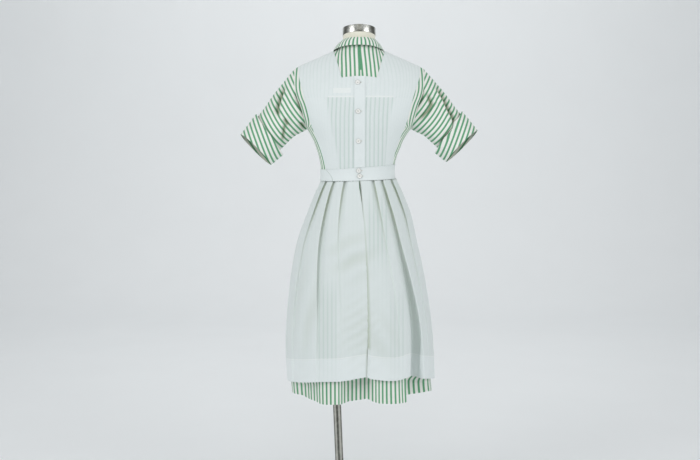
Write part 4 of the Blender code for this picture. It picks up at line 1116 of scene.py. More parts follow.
def skirt_stations():
    """The columns of both skirts, in order from the centre front round to the left, the back and the right.

    Each is the two key columns it lies between and its share of the way. A key column is a place of a pleat's
    section, the opening's middle or a fixed angle.
    """
    keys = []
    for number, row in enumerate(PLEATS):
        for sample in range(len(PLEAT_SECTION)):
            keys.append(("pleat", number, sample))
    keys += [("opening",), ("fixed", -SIDE_SEAM_DEG), ("fixed", SIDE_SEAM_DEG), ("fixed", -180.0), ("fixed", 180.0)]
    keys.sort(key=lambda key: key_angles(key, 0.0)[1])
    stations = []
    for low, high in zip(keys, keys[1:]):
        span = max(key_angles(high, down)[1] - key_angles(low, down)[1] for down in (0.0, 0.5, 1.0))
        cells = max(1, math.ceil(span / SKIRT_STEP_DEG))
        stations += [(low, high, i / cells) for i in range(cells)]
    return stations + [(keys[-1], keys[-1], 0.0)]


def key_angles(key, down):
    """A key column's angle in the apron's folded section and in the plain one, and its depth there."""
    if key[0] == "fixed":
        return key[1], key[1], 0.0
    if key[0] == "opening":
        middle = OPENING.read_straight("middle_deg", down)
        return middle, middle, 0.0
    edge, width, depth, outwards = pleat_values(PLEATS[key[1]], down)
    folded, plain, share = PLEAT_SECTION[key[2]]
    return edge + folded * width * outwards, edge + plain * width * outwards, depth * share


def station_angles(station, down):
    """The angles of a column in the folded and in the plain section."""
    low, high, share = station
    first, second = key_angles(low, down), key_angles(high, down)
    return [a + (b - a) * share for a, b in zip(first[:2], second[:2])]


def level_angles(stations, down):
    """Each column's angle at a level, in order round the skirt, and how far a folded pleat moves it on."""
    angles = [station_angles(station, down) for station in stations]
    in_order = sorted(plain for folded, plain in angles)
    return [(plain, folded - own) for plain, (folded, own) in zip(in_order, angles)]


def apron_rows(stations, levels):
    """The apron's surface at each level, with its pleats folded where they are deep enough, and its painted shade."""
    rows, shades = [], []
    for down in levels:
        row, dark = [], []
        for station, (plain, turned_in) in zip(stations, level_angles(stations, down)):
            inwards = pleat_depth(plain, down) + tuck_depth(plain, down)
            z = apron_height(plain, down)
            deep = 0.0
            for key in (station[0], station[1]):
                if key[0] == "pleat":
                    deep = max(deep, pleat_values(PLEATS[key[1]], down)[2])
            fold = smooth((deep - FOLD_FROM_DEPTH) / (FOLD_FULL_DEPTH - FOLD_FROM_DEPTH))
            angle = plain + turned_in * fold
            row.append(skirt_point(APRON_SKIRT, angle, z, inwards))
            first, second = (PLEAT_SHADE[key[2]] if key[0] == "pleat" else 0.0 for key in station[:2])
            hollow = HOLLOW.read_straight("dark", down) * min(1.0, deep / HOLLOW_FULL_DEPTH)
            dark.append((first + (second - first) * station[2]) * hollow)
        rows.append(row)
        shades.append(dark)
    return np.array(rows), np.array(shades)


def dress_rows(stations, levels):
    """The dress's skirt keeps its own flares and stays inside the apron's pleats."""
    rows = []
    for down in levels:
        within = min(1.0, max(0.0, down))
        row = []
        for angle, _ in level_angles(stations, within):
            if down < 0.0:
                z = WAIST + (apron_height(angle, 0.0) - WAIST) * (1.0 + down)
            elif down <= 1.0:
                z = apron_height(angle, down)
            else:
                hem = DRESS_HEM + DRESS_HEM_RISE.read_straight("rise", angle)
                z = apron_height(angle, 1.0) + (hem - apron_height(angle, 1.0)) * (down - 1.0)
            near = [angle + turn for turn in UNDER_APRON_WINDOW]
            under = max(pleat_depth(turned, within) + tuck_depth(turned, within) for turned in near)
            apron = APRON_SKIRT.read("half_width", z)
            own = DRESS_SKIRT.read("half_width", z)
            limit = apron - under - UNDER_APRON
            inwards = max(flare_depth(angle, down), own - limit if down >= 0.0 else 0.0, 0.0)
            row.append(skirt_point(DRESS_SKIRT, angle, z, inwards))
        rows.append(row)
    return np.array(rows)


def skirt_net(rows, stripes, fall):
    """A net of one skirt, with the stripes' coordinate and the height above the hem as its cloth map."""
    net = Net()
    across = np.broadcast_to(stripes, rows.shape[:2])
    maps = {"cloth": np.stack((across, fall), axis=2)}
    net.add("skirt", rows, 1, maps)
    return net


def falls(rows):
    """Length of cloth from each point down to the hem."""
    steps = np.linalg.norm(np.diff(rows, axis=0), axis=2)
    below = np.cumsum(steps[::-1], axis=0)[::-1]
    return np.concatenate((below, np.zeros((1, rows.shape[1]))), axis=0)


# Materials

class Paint:
    """Short calls for building one material's nodes. A value is a number, a colour or another node's output."""

    def __init__(self, name, roughness, metallic=0.0, sheen=0.0):
        self.material = bpy.data.materials.new(name)
        self.material.use_nodes = True
        self.tree = self.material.node_tree
        self.shader = self.tree.nodes["Principled BSDF"]
        self.shader.inputs["Roughness"].default_value = roughness
        self.shader.inputs["Metallic"].default_value = metallic
        self.shader.inputs["Sheen Weight"].default_value = sheen

    def node(self, kind, settings, inputs):
        made = self.tree.nodes.new(kind)
        for key, value in settings.items():
            setattr(made, key, value)
        for key, value in inputs.items():
            if isinstance(value, bpy.types.NodeSocket):
                self.tree.links.new(value, made.inputs[key])
            elif value is not None:
                made.inputs[key].default_value = value
        return made

    def math(self, operation, a, b=None, c=None, clamp=False):
        settings = {"operation": operation, "use_clamp": clamp}
        return self.node("ShaderNodeMath", settings, {0: a, 1: b, 2: c}).outputs[0]

    def step(self, value, low, high, first=0.0, last=1.0):
        """Rises smoothly from first to last as the value goes from low to high."""
        settings = {"interpolation_type": "SMOOTHSTEP"}
        inputs = {"Value": value, "From Min": low, "From Max": high, "To Min": first, "To Max": last}
        return self.node("ShaderNodeMapRange", settings, inputs).outputs[0]

    def mix(self, share, a, b, kind="MIX"):
        settings = {"data_type": "RGBA", "blend_type": kind}
        return self.node("ShaderNodeMix", settings, {0: share, 6: a, 7: b}).outputs[2]

    def darken(self, share, colour, by):
        """A colour multiplied by another one, as far as the share says."""
        return self.mix(share, colour, by, "MULTIPLY")

    def uv(self, name):
        place = self.node("ShaderNodeUVMap", {"uv_map": name}, {}).outputs[0]
        parts = self.node("ShaderNodeSeparateXYZ", {}, {0: place})
        return place, parts.outputs[0], parts.outputs[1]

    def value(self, name):
        return self.node("ShaderNodeAttribute", {"attribute_name": name}, {}).outputs["Fac"]

    def noise(self, place, scale, detail=2.0, roughness=0.5):
        inputs = {"Vector": place, "Scale": scale, "Detail": detail, "Roughness": roughness}
        return self.node("ShaderNodeTexNoise", {}, inputs).outputs[0]

    def scaled(self, place, scale):
        settings = {"operation": "MULTIPLY"}
        return self.node("ShaderNodeVectorMath", settings, {0: place, 1: scale}).outputs[0]

    def world(self):
        return self.node("ShaderNodeTexCoord", {}, {}).outputs["Object"]

    def bump(self, height, distance, strength=1.0, before=None):
        inputs = {"Height": height, "Distance": distance, "Strength": strength, "Normal": before}
        return self.node("ShaderNodeBump", {}, inputs).outputs[0]

    def set(self, key, value):
        self.tree.links.new(value, self.shader.inputs[key])


def weave(paint, place, pitch):
    """Height of a plain weave: threads that cross over and under each other, with uneven thickness."""
    _, across, along = place
    warp = paint.math("SINE", paint.math("MULTIPLY", across, 2.0 * math.pi / pitch))
    weft = paint.math("SINE", paint.math("MULTIPLY", along, 2.0 * math.pi / pitch))
    return paint.math("MULTIPLY_ADD", paint.math("MULTIPLY", warp, weft), 0.5, 0.5)


def soft_creases(paint, strength):
    """Small crumples that worn and pressed cotton keeps."""
    place = paint.world()
    wide = paint.noise(place, 22.0, 3.0, 0.55)
    fine = paint.noise(paint.scaled(place, (1.0, 1.0, 0.45)), 70.0, 2.0, 0.5)
    height = paint.math("ADD", wide, paint.math("MULTIPLY", fine, 0.35))
    return paint.bump(height, strength)


def tint(rgb):
    """An sRGB colour from 0 to 255 as the linear colour that nodes take."""
    values = [value / 255.0 for value in rgb]
    return (*[v / 12.92 if v <= 0.04045 else ((v + 0.055) / 1.055) ** 2.4 for v in values], 1.0)


def striped_cotton(name, seam=False):
    paint = Paint(name, 0.82, sheen=0.12)
    place = paint.uv("cloth")
    across = place[1]
    wobble = paint.noise(paint.scaled(place[0], (30.0, 9.0, 1.0)), 1.0, 1.0)
    shifted = paint.math("MULTIPLY_ADD", paint.math("SUBTRACT", wobble, 0.5), 0.0006, across)
    turned = paint.math("WRAP", shifted, -STRIPE_PITCH / 2, STRIPE_PITCH / 2)
    from_middle = paint.math("ABSOLUTE", turned)
    green = paint.step(from_middle, STRIPE_HALF - STRIPE_SOFT, STRIPE_HALF + STRIPE_SOFT, 1.0, 0.0)
    if seam:
        inside = paint.step(across, 0.0002, 0.0008, 1.0, 0.0)
        above = paint.step(place[2], 1.3335, 1.3360)
        fill = paint.math("MULTIPLY", inside, above)
        green = paint.math("MAXIMUM", green, fill)
    fading = paint.noise(paint.world(), 9.0, 3.0, 0.6)
    threads = paint.noise(paint.scaled(place[0], (2600.0, 260.0, 1.0)), 1.0, 2.0, 0.6)
    light_green = paint.mix(fading, tint((82, 154, 108)), tint((102, 168, 128)))
    white = paint.mix(fading, tint((240, 240, 235)), tint((248, 248, 243)))
    colour = paint.mix(green, white, light_green)
    # Painted shade from the shade value: darker in the sleeves' creases and before the cuffs' edges
    colour = paint.darken(paint.value("shade"), colour, (0.30, 0.34, 0.22, 1.0))
    thread_dark = paint.step(threads, 0.25, 0.75, 0.10, 0.0)
    colour = paint.mix(thread_dark, colour, tint((120, 140, 120)))
    paint.set("Base Color", colour)
    paint.set("Roughness", paint.step(threads, 0.2, 0.8, 0.74, 0.90))
    height = weave(paint, place, 0.0009)
    paint.set("Normal", paint.bump(height, 0.00012, 0.5, soft_creases(paint, 0.0012)))
    return paint.material


def white_lawn(name, kind):
    """White lawn. kind is body, skirt, band or placket: what shows through it and its seams differ."""
    paint = Paint(name, 0.80, sheen=0.15)
    place = paint.uv("cloth")
    fading = paint.noise(paint.world(), 7.0, 3.0, 0.6)
    threads = paint.noise(paint.scaled(place[0], (1800.0, 240.0, 1.0)), 1.0, 2.0, 0.6)
    colour = paint.mix(fading, tint((226, 233, 233)), tint((234, 240, 240)))
    if kind == "band":
        # Painted shadow: a dark line beside the slanting edge where the band's left part laps over
        x, z = place[1:]
        rise = paint.math("MULTIPLY", paint.math("SUBTRACT", z, BAND_BOTTOM), 1.0 / 0.036)
        line_x = paint.math("MULTIPLY_ADD", paint.math("POWER", rise, 2.0), -0.033, -0.0795)
        aside = paint.math("SUBTRACT", x, line_x)
        dark = paint.math("MULTIPLY", paint.step(aside, -0.0022, -0.0003), paint.step(aside, 0.0, 0.0006, 1.0, 0.0))
        colour = paint.darken(paint.math("MULTIPLY", dark, 0.8), colour, (0.50, 0.56, 0.50, 1.0))
        # Stitching along the band's top and bottom, as small dashes of painted shadow of the sewing thread
        low, high = paint.uv("rows")[1:]
        dash = paint.step(paint.math("WRAP", low, 0.0, 0.0026), 0.0016, 0.0019, 1.0, 0.0)
        edge = paint.math("ABSOLUTE", paint.math("SUBTRACT", high, 1.0))
        seam = paint.math("MULTIPLY", paint.step(edge, 0.865, 0.880), paint.step(edge, 0.905, 0.920, 1.0, 0.0))
        colour = paint.darken(paint.math("MULTIPLY", paint.math("MULTIPLY", seam, dash), 0.5), colour, (0.62, 0.66, 0.64, 1.0))
    elif kind == "placket":
        x, z = place[1:]
        aside = paint.math("ABSOLUTE", paint.math("SUBTRACT", x, (PLACKET_LEFT + PLACKET_RIGHT) / 2))
        half = (PLACKET_RIGHT - PLACKET_LEFT) / 2
        # Stitching down both edges, as small dashes of painted shadow of the sewing thread
        seam = paint.math("MULTIPLY", paint.step(aside, half - 0.0023, half - 0.0020), paint.step(aside, half - 0.0016, half - 0.0013, 1.0, 0.0))
        dash = paint.step(paint.math("WRAP", z, 0.0, 0.0026), 0.0016, 0.0019, 1.0, 0.0)
        colour = paint.darken(paint.math("MULTIPLY", paint.math("MULTIPLY", seam, dash), 0.5), colour, (0.62, 0.66, 0.64, 1.0))
    else:
        under = paint.uv("under")
        turned = paint.math("WRAP", under[1], -STRIPE_PITCH / 2, STRIPE_PITCH / 2)
        soft = 0.0022 if kind == "body" else 0.0011
        green = paint.step(paint.math("ABSOLUTE", turned), STRIPE_HALF - soft, STRIPE_HALF + soft * 0.4, 1.0, 0.0)
        show = paint.value("show")
        if kind == "body":
            x, z = paint.uv("plain")[1:]
            aside = paint.math("ABSOLUTE", paint.math("SUBTRACT", x, 0.001))
            below = paint.step(z, 1.2555, 1.2575, 1.0, 0.45)
            show = paint.math("MULTIPLY", show, below)
            line = paint.math("MULTIPLY", paint.step(z, 1.2550, 1.2565), paint.step(z, 1.2590, 1.2610, 1.0, 0.0))
            line = paint.math("MULTIPLY", line, paint.step(aside, 0.093, 0.096, 1.0, 0.0))
            patch = paint.math("MULTIPLY", paint.step(z, 1.2675, 1.2690), paint.step(z, 1.2815, 1.2830, 1.0, 0.0))
            middle = paint.math("ABSOLUTE", paint.math("ADD", x, 0.054))
            patch = paint.math("MULTIPLY", patch, paint.step(middle, 0.0250, 0.0265, 1.0, 0.0))
            clear = paint.math("MAXIMUM", line, patch)
            show = paint.math("MULTIPLY", show, paint.math("SUBTRACT", 1.0, clear, clamp=True))
            colour = paint.mix(paint.math("MULTIPLY", clear, 0.5), colour, tint((240, 243, 240)))
        else:
            hem = paint.step(place[2], 0.0668, 0.0684, 0.35, 1.0)
            show = paint.math("MULTIPLY", show, hem)
            single = paint.step(place[2], 0.0668, 0.0684)
            colour = paint.mix(paint.math("MULTIPLY", single, 0.50), colour, tint((216, 224, 222)))
            line = paint.math("MULTIPLY", paint.step(place[2], 0.0655, 0.0662), paint.step(place[2], 0.0684, 0.0692, 1.0, 0.0))
            colour = paint.mix(paint.math("MULTIPLY", line, 0.45), colour, tint((244, 247, 246)))
            # Stitching along the top of the hem band, as small dashes of painted shadow of the sewing thread
            dash = paint.step(paint.math("WRAP", place[1], 0.0, 0.0028), 0.0017, 0.0020, 1.0, 0.0)
            seam = paint.math("MULTIPLY", paint.step(place[2], 0.0650, 0.0653), paint.step(place[2], 0.0658, 0.0661, 1.0, 0.0))
            colour = paint.darken(paint.math("MULTIPLY", paint.math("MULTIPLY", seam, dash), 0.4), colour, (0.62, 0.66, 0.64, 1.0))
        colour = paint.mix(paint.math("MULTIPLY", show, 0.20), colour, tint((198, 208, 204)))
        clear_green = 0.38 if kind == "body" else 0.27
        green = paint.math("MULTIPLY", paint.math("MULTIPLY", green, show), clear_green)
        colour = paint.mix(green, colour, tint((168, 196, 182)))
    # Painted shade from the shade value: pleat hollows, drag folds and the line along the skirt's opening
    colour = paint.darken(paint.value("shade"), colour, (0.54, 0.58, 0.43, 1.0))
    thread_dark = paint.step(threads, 0.25, 0.75, 0.05, 0.0)
    colour = paint.mix(thread_dark, colour, tint((180, 190, 190)))
    paint.set("Base Color", colour)
    paint.set("Roughness", paint.step(threads, 0.2, 0.8, 0.72, 0.88))
    height = weave(paint, place, 0.0007)
    paint.set("Normal", paint.bump(height, 0.00010, 0.5, soft_creases(paint, 0.0022 if kind == "body" else 0.0014)))
    return paint.material


def form_canvas():
    paint = Paint("form_canvas", 0.85, sheen=0.1)
    place = paint.world()
    threads = paint.noise(paint.scaled(place, (900.0, 900.0, 260.0)), 1.0, 2.0, 0.6)
    stains = paint.noise(place, 14.0, 3.0, 0.6)
    colour = paint.mix(stains, tint((236, 233, 216)), tint((246, 243, 230)))
    colour = paint.mix(paint.step(threads, 0.3, 0.7, 0.14, 0.0), colour, tint((186, 180, 160)))
    paint.set("Base Color", colour)
    paint.set("Roughness", paint.step(threads, 0.2, 0.8, 0.78, 0.92))
    paint.set("Normal", paint.bump(threads, 0.0003, 0.6))
    return paint.material


def steel(name, dark, light, roughness, axis=None):
    """Bright metal with smudges and, round an axis (x at the foot, x per height, y), painted reflections: light and
    dark streaks along it.
    """
    paint = Paint(name, roughness, metallic=1.0)
    place = paint.world()
    lines = paint.noise(paint.scaled(place, (40.0, 40.0, 1500.0)), 1.0, 2.0, 0.6)
    smudges = paint.noise(place, 60.0, 3.0, 0.6)
    share = smudges
    if axis:
        foot_x, lean_x, middle_y = axis
        parts = paint.node("ShaderNodeSeparateXYZ", {}, {0: place}).outputs
        middle_x = paint.math("MULTIPLY_ADD", parts[2], lean_x, foot_x)
        off_x = paint.math("SUBTRACT", parts[0], middle_x)
        off_y = paint.math("SUBTRACT", parts[1], middle_y)
        # Painted reflections: bands of light and dark round the axis, as lights would show in polished metal
        turn = paint.math("ARCTAN2", off_y, off_x)
        wave = paint.math("COSINE", paint.math("MULTIPLY", turn, REFLECTION_BANDS_ROUND))
        share = paint.math("MULTIPLY_ADD", wave, 0.44, paint.math("MULTIPLY", smudges, 0.9))
    colour = paint.mix(share, tint(dark), tint(light))
    paint.set("Base Color", colour)
    rough = paint.math("MULTIPLY_ADD", smudges, 0.10, roughness - 0.04)
    paint.set("Roughness", paint.math("MULTIPLY_ADD", lines, 0.06, rough))
    paint.set("Normal", paint.bump(lines, 0.00002, 0.4))
    return paint.material


def button_shell():
    """Shell with cloudy light in it, and painted shade: four dark sewing holes, the groove inside the rim and a dark
    band round the rim.
    """
    paint = Paint("button_shell", 0.28)
    place = paint.world()
    _, across, up = paint.uv("face")
    off_x = paint.math("SUBTRACT", paint.math("ABSOLUTE", across), BUTTON_HOLE_PLACE)
    off_z = paint.math("SUBTRACT", paint.math("ABSOLUTE", up), BUTTON_HOLE_PLACE)
    squares = paint.math("ADD", paint.math("POWER", off_x, 2.0), paint.math("POWER", off_z, 2.0))
    hole = paint.step(paint.math("SQRT", squares), 0.00075, 0.00105, 1.0, 0.0)
    squares = paint.math("ADD", paint.math("POWER", across, 2.0), paint.math("POWER", up, 2.0))
    from_middle = paint.math("SQRT", squares)
    groove = paint.math("ABSOLUTE", paint.math("SUBTRACT", from_middle, BUTTON_RADIUS * 0.56))
    groove = paint.step(groove, 0.0002, 0.0009, 0.22, 0.0)
    rim = paint.step(from_middle, BUTTON_RADIUS * 0.80, BUTTON_RADIUS * 0.94, 0.0, 1.0)
    # Painted shade in the holes, in the groove inside the rim and round the rim's outer edge
    painted_shade = paint.math("MAXIMUM", hole, paint.math("MAXIMUM", groove, rim))
    clouds = paint.noise(paint.scaled(place, (260.0, 260.0, 420.0)), 1.0, 3.0, 0.6)
    colour = paint.mix(clouds, tint((240, 240, 236)), tint((253, 253, 251)))
    colour = paint.darken(painted_shade, colour, (0.42, 0.43, 0.40, 1.0))
    paint.set("Base Color", colour)
    paint.set("Roughness", paint.step(clouds, 0.2, 0.8, 0.22, 0.42))
    paint.set("Normal", paint.bump(clouds, 0.00005, 0.5))
    paint.shader.inputs["Coat Weight"].default_value = 0.3
    return paint.material


def thread():
    paint = Paint("white_thread", 0.8, sheen=0.1)
    place = paint.world()
    strands = paint.noise(paint.scaled(place, (2400.0, 2400.0, 2400.0)), 1.0, 1.0, 0.5)
    paint.set("Base Color", paint.mix(strands, tint((206, 204, 190)), tint((238, 238, 230))))
    paint.set("Normal", paint.bump(strands, 0.0001, 0.7))
    return paint.material


def plain_stage():
    paint = Paint("pale_sweep", 0.95)
    grain = paint.noise(paint.world(), 3.0, 2.0, 0.5)
    paint.set("Base Color", paint.mix(grain, tint((238, 240, 241)), tint((241, 243, 244))))
    return paint.material


# Turned and round pieces

def walls(rings):
    """Faces between each ring of point numbers and the next one."""
    faces = []
    for low, high in zip(rings, rings[1:]):
        for corners in zip(low, low[1:] + low[:1], high[1:] + high[:1], high):
            faces.append(list(dict.fromkeys(corners)))
    return faces


def turned(name, profile, sides, finish, slot, place, towards=(0.0, 0.0, 1.0), lean=0.0):
    """A solid turned from (radius, height) pairs that start and end on its axis, which may lean to the right."""
    spin = Vector((0.0, 0.0, 1.0)).rotation_difference(Vector(towards))
    verts, rings = [], []
    for radius, height in profile:
        count = 1 if radius == 0.0 else sides
        ring = []
        for i in range(count):
            turn = 2.0 * math.pi * i / sides
            point = Vector((radius * math.cos(turn) + lean * height, radius * math.sin(turn), height))
            point.rotate(spin)
            ring.append(len(verts))
            verts.append(tuple(point + Vector(place)))
        rings.append(ring if count > 1 else ring * sides)
    faces = walls(rings)
    face_map = [(verts[i][0] - place[0], verts[i][2] - place[2]) for face in faces for i in face]
    return make_mesh(name, verts, faces, {"face": face_map}, {}, finish, slot)


def rounded(profile, radius, steps=4):
    """A profile with its inner corners rounded."""
    out = [profile[0]]
    for before, here, after in zip(profile, profile[1:], profile[2:]):
        here_v = Vector(here)
        to_before, to_after = Vector(before) - here_v, Vector(after) - here_v
        reach = min(radius, to_before.length * 0.45, to_after.length * 0.45)
        start = here_v + to_before.normalized() * reach
        end = here_v + to_after.normalized() * reach
        for i in range(steps + 1):
            t = i / steps
            point = start * (1 - t) ** 2 + here_v * (2 * t * (1 - t)) + end * t**2
            out.append((point.x, point.y))
    out.append(profile[-1])
    return out


def tree_of(obj_names):
    points, faces = [], []
    for name in obj_names:
        data = bpy.data.objects[name].data
        start = len(points)
        points += [vert.co.copy() for vert in data.vertices]
        faces += [[start + i for i in face.vertices] for face in data.polygons]
    return BVHTree.FromPolygons(points, faces)


def seat_on(names, x, z, facing):
    """Where a button rests on the cloth under it, from the back or the front, and which way it faces."""
    tree = tree_of(names)

    def hit(across, up):
        for nudge in (0.0, 0.001, -0.001):
            start = Vector((x + across + nudge, facing * 0.5, z + up))
            found = tree.ray_cast(start, Vector((0.0, -facing, 0.0)))[0]
            if found:
                return found - Vector((nudge, 0.0, 0.0))
        return Vector((x + across, 0.0, z + up))

    reach = BUTTON_RADIUS
    across = hit(reach, 0.0) - hit(-reach, 0.0)
    up = hit(0.0, reach) - hit(0.0, -reach)
    normal = across.cross(up).normalized()
    if normal.y * facing < 0.0:
        normal = -normal
    middle = hit(0.0, 0.0)
    proud = 0.0
    for i in range(24):
        turn = math.pi * i / 12.0
        for share in (0.5, 1.0):
            spot = hit(reach * share * math.cos(turn), reach * share * math.sin(turn))
            proud = max(proud, (spot - middle).dot(normal))
    return middle + normal * (proud + SEAM_GAP), normal


def tubes(lines, radius, sides=8):
    """Vertices and faces of closed round tubes along lines of points."""
    verts, faces = [], []
    for line in lines:
        rings = []
        for i, point in enumerate(line):
            low, high = line[max(0, i - 1)], line[min(len(line) - 1, i + 1)]
            along = (high - low).normalized()
            first = along.orthogonal().normalized()
            second = along.cross(first)
            rings.append([len(verts) + k for k in range(sides)])
            for k in range(sides):
                turn = 2.0 * math.pi * k / sides
                verts.append(tuple(point + first * (radius * math.cos(turn)) + second * (radius * math.sin(turn))))
        faces += [*walls(rings), rings[0][::-1], rings[-1]]
    return verts, faces


def build_buttons(shell, thread_finish):
    """Buttons with a raised rim, sewn on through four holes with crossed thread."""
    outline = [(BUTTON_RADIUS * across, BUTTON_THICKNESS * up) for across, up in BUTTON_PROFILE]
    profile = rounded(outline, BUTTON_ROUNDING)
    for name, x, z, under, facing in BUTTONS:
        place, normal = seat_on([f"look_{node}" for node in under], x, z, facing)
        button = turned(f"look_{name}", profile, 48, shell, "button_shell", place, normal)
        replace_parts(button, name)
        across = Vector((1.0, 0.0, 0.0))
        across = (across - normal * across.dot(normal)).normalized()
        up = normal.cross(across)
        top = place + normal * (BUTTON_THICKNESS * 0.62)
        lines = []
        for sign in (1.0, -1.0):
            reach = across * BUTTON_HOLE_PLACE + up * (BUTTON_HOLE_PLACE * sign)
            line = []
            for i in range(9):
                share = i / 8
                rise = THREAD_RISE * math.sin(math.pi * share) + (THREAD_OVER if sign > 0 else 0.0)
                line.append((top + reach).lerp(top - reach, share) + normal * (rise - THREAD_OVER))
            lines.append(line)
        make_mesh(f"look_{name}_thread", *tubes(lines, THREAD_RADIUS), {}, {}, thread_finish, "button_shell")
        if facing < 0.0:
            buttonhole(name, place, normal, across, thread_finish)


def buttonhole(name, place, normal, across, finish):
    """The end of the worked buttonhole that shows beside a button, as rows of thread over its two edges."""
    up = normal.cross(across)
    lines = []
    for sign in (1.0, -1.0):
        line = []
        for i in range(13):
            reach = BUTTON_RADIUS * 0.85 + BUTTONHOLE_LENGTH * i / 12
            side = 0.0006 + 0.00012 * math.sin(i * 2.6)
            line.append(place + across * reach + up * (side * sign))
        lines.append(line)
    make_mesh(f"look_{name}_buttonhole", *tubes(lines, BUTTONHOLE_THREAD), {}, {}, finish, "button_shell")


# Building

def main():
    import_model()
    cad_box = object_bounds()
    cotton = striped_cotton("striped_cotton")
    cotton_back = striped_cotton("striped_cotton_back", seam=True)
    lawn_body = white_lawn("white_lawn_body", "body")
    lawn_skirt = white_lawn("white_lawn_skirt", "skirt")
    lawn_band = white_lawn("white_lawn_band", "band")
    lawn_placket = white_lawn("white_lawn_placket", "placket")
    canvas = form_canvas()
    chrome = steel("chrome", (116, 116, 108), (238, 238, 232), 0.22, (0.0, 0.0, NECK_RINGS[-1][3]))
    tube = steel("steel_tube", (86, 87, 80), (206, 204, 196), 0.18, (POLE_FOOT_X, POLE_LEAN, 0.0))
    brushed = steel("brushed_steel", (128, 130, 126), (158, 160, 156), 0.16)

    net = dress_net()
    flat = np.array(net.points)
    first = net.normals(flat)
    points, shade = flat, np.zeros(len(flat))
    for side_name in ("left", "right"):
        part = f"sleeve_{side_name}"
        points, hollow = creased(points, first, net.grids[part], part)
        shade = np.maximum(shade, hollow)
    normals = net.normals(points)
    narrow = sleeve_drawn_in(net, points)
    shade = np.maximum(shade, cuff_shadow(net, len(points)))
    bodice(net, points, normals, (narrow, net.normals(narrow)), shade, (cotton, cotton_back, lawn_body, lawn_band, lawn_placket))
    skirts(cotton, lawn_skirt)
    collar(net, points, normals, cotton)
    form(net, points, normals, canvas)
    stand(chrome, brushed, tube)
    build_buttons(button_shell(), thread())
    stage_and_light()
    return cad_box


def cuff_shadow(net, count):
    """How dark the sleeve is just before the cuff's loose edge."""
    dark = np.zeros(count)
    for side_name in ("left", "right"):
        ids = net.grids[f"sleeve_{side_name}"]
        for r in range(ids.shape[0]):
            down = r / (ids.shape[0] - 1)
            dark[ids[r]] = 0.55 * smooth(1.0 - (CUFF_START - down) / 0.035) if down <= CUFF_START else 0.55
    return dark


def bodice(net, points, normals, narrow, shade, finishes):
    """The dress's backs, fronts, sleeves and cuffs, and the apron's backs, bib, band and placket."""
    cotton, cotton_back, lawn_body, lawn_band, lawn_placket = finishes
    top = (len(ROW_SHARES) + 1) * ROW_SPLIT
    waist, band_top = ROW_SPLIT, 2 * ROW_SPLIT
    neck_side = (CELLS_TO_NECK_POINT + CELLS_TO_NECK_SIDE) * COLUMN_SPLIT
    edge = neck_side + CELLS_TO_APRON_EDGE * COLUMN_SPLIT
    side = edge + CELLS_TO_SIDE * COLUMN_SPLIT
    back_neck = band_top + APRON_BACK_NECK_ROW * ROW_SPLIT
    bib_top = band_top + APRON_BIB_TOP_ROW * ROW_SPLIT
    cuff_ring = round(CUFF_START * SLEEVE_RING_COUNT)
    dress_maps = {"cloth": "cloth"}
    apron_maps = {"cloth": "plain", "under": "cloth", "plain": "plain"}
    dress_values = {"shade": shade}
    show = np.array([body_show(*point) for point in points])
    apron_values = {"shade": shade * 0.0, "show": show}
    for side_name in ("left", "right"):
        for face in ("back", "front"):
            patch = f"{face}_{side_name}"
            finish = cotton_back if face == "back" else cotton
            blocks = [(patch, waist, top, 0, side)]
            add_cloth(f"dress_{patch}", net, points, normals, blocks, DRESS_LAYER, finish, "striped_cotton", dress_maps, dress_values)
        patch = f"sleeve_{side_name}"
        around = net.grids[patch].shape[1] - 1
        blocks = [(patch, 0, SLEEVE_RING_COUNT, 0, around)]
        add_cloth(f"dress_{patch}", net, *narrow, blocks, DRESS_LAYER, cotton, "striped_cotton", dress_maps, dress_values)
        blocks = [(patch, cuff_ring, SLEEVE_RING_COUNT, 0, around)]
        lift = cuff_lift(net, points, side_name)
        add_cloth(f"dress_cuff_{side_name}", net, points, normals, blocks, CUFF_LAYER, cotton, "striped_cotton", {"cloth": "cuff"}, {"shade": shade * 0.0}, lift)
        patch = f"back_{side_name}"
        blocks = [(patch, band_top, back_neck, 0, neck_side), (patch, band_top, top, neck_side, edge)]
        add_cloth(f"apron_{patch}", net, points, normals, blocks, APRON_LAYER, lawn_body, "white_lawn", apron_maps, apron_values)
        blocks = [(patch, 0, band_top, 0, side)]
        add_cloth(f"apron_band_{patch}", net, points, normals, blocks, BAND_LAYER, lawn_band, "white_lawn", {"cloth": "plain", "rows": "rows"}, {"shade": shade * 0.0})
    blocks = []
    for patch in ("front_left", "front_right"):
        blocks += [(patch, band_top, bib_top, 0, neck_side), (patch, band_top, top, neck_side, edge)]
    add_cloth("apron_bib", net, points, normals, blocks, APRON_LAYER, lawn_body, "white_lawn", apron_maps, apron_values)
    blocks = [(patch, 0, band_top, 0, side) for patch in ("front_left", "front_right")]
    add_cloth("apron_band_front", net, points, normals, blocks, BAND_LAYER, lawn_band, "white_lawn", {"cloth": "plain", "rows": "rows"}, {"shade": shade * 0.0})
    placket(lawn_placket)


def add_cloth(node, *parts):
    """A cloth piece that stands for the solid of the same name."""
    obj = cloth(f"look_{node}", *parts)
    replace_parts(obj, node)
    return obj


def cuff_lift(net, points, side_name):
    """The cuff stands off the sleeve more towards its loose upper edge and under the arm."""
    row = next(row for row in SLEEVES if row[0] == side_name)
    across, outward, _, middle = sleeve_axes(row)
    away = -(points - middle) @ outward
    up = (points - middle) @ across
    loose = np.clip(away / 0.05, 0.0, 1.0)
    under = np.clip(-up / row[3], 0.0, 1.0)
    return 0.0004 + loose * (0.0014 + 0.0020 * under)


def body_show(x, y, z):
    """How clearly the dress shows through the apron's bodice."""
    if y > 0.0:
        return 0.25
    if z > 1.2575:
        return 0.50 + 0.25 * smooth((z - 1.30) / 0.04)
    left, right = (SHOW_EDGES.read(side, z) for side in ("left", "right"))
    middle = min(smooth((x - left) / 0.006 + 0.5), smooth((right - x) / 0.006 + 0.5))
    return 0.10 + 0.90 * middle


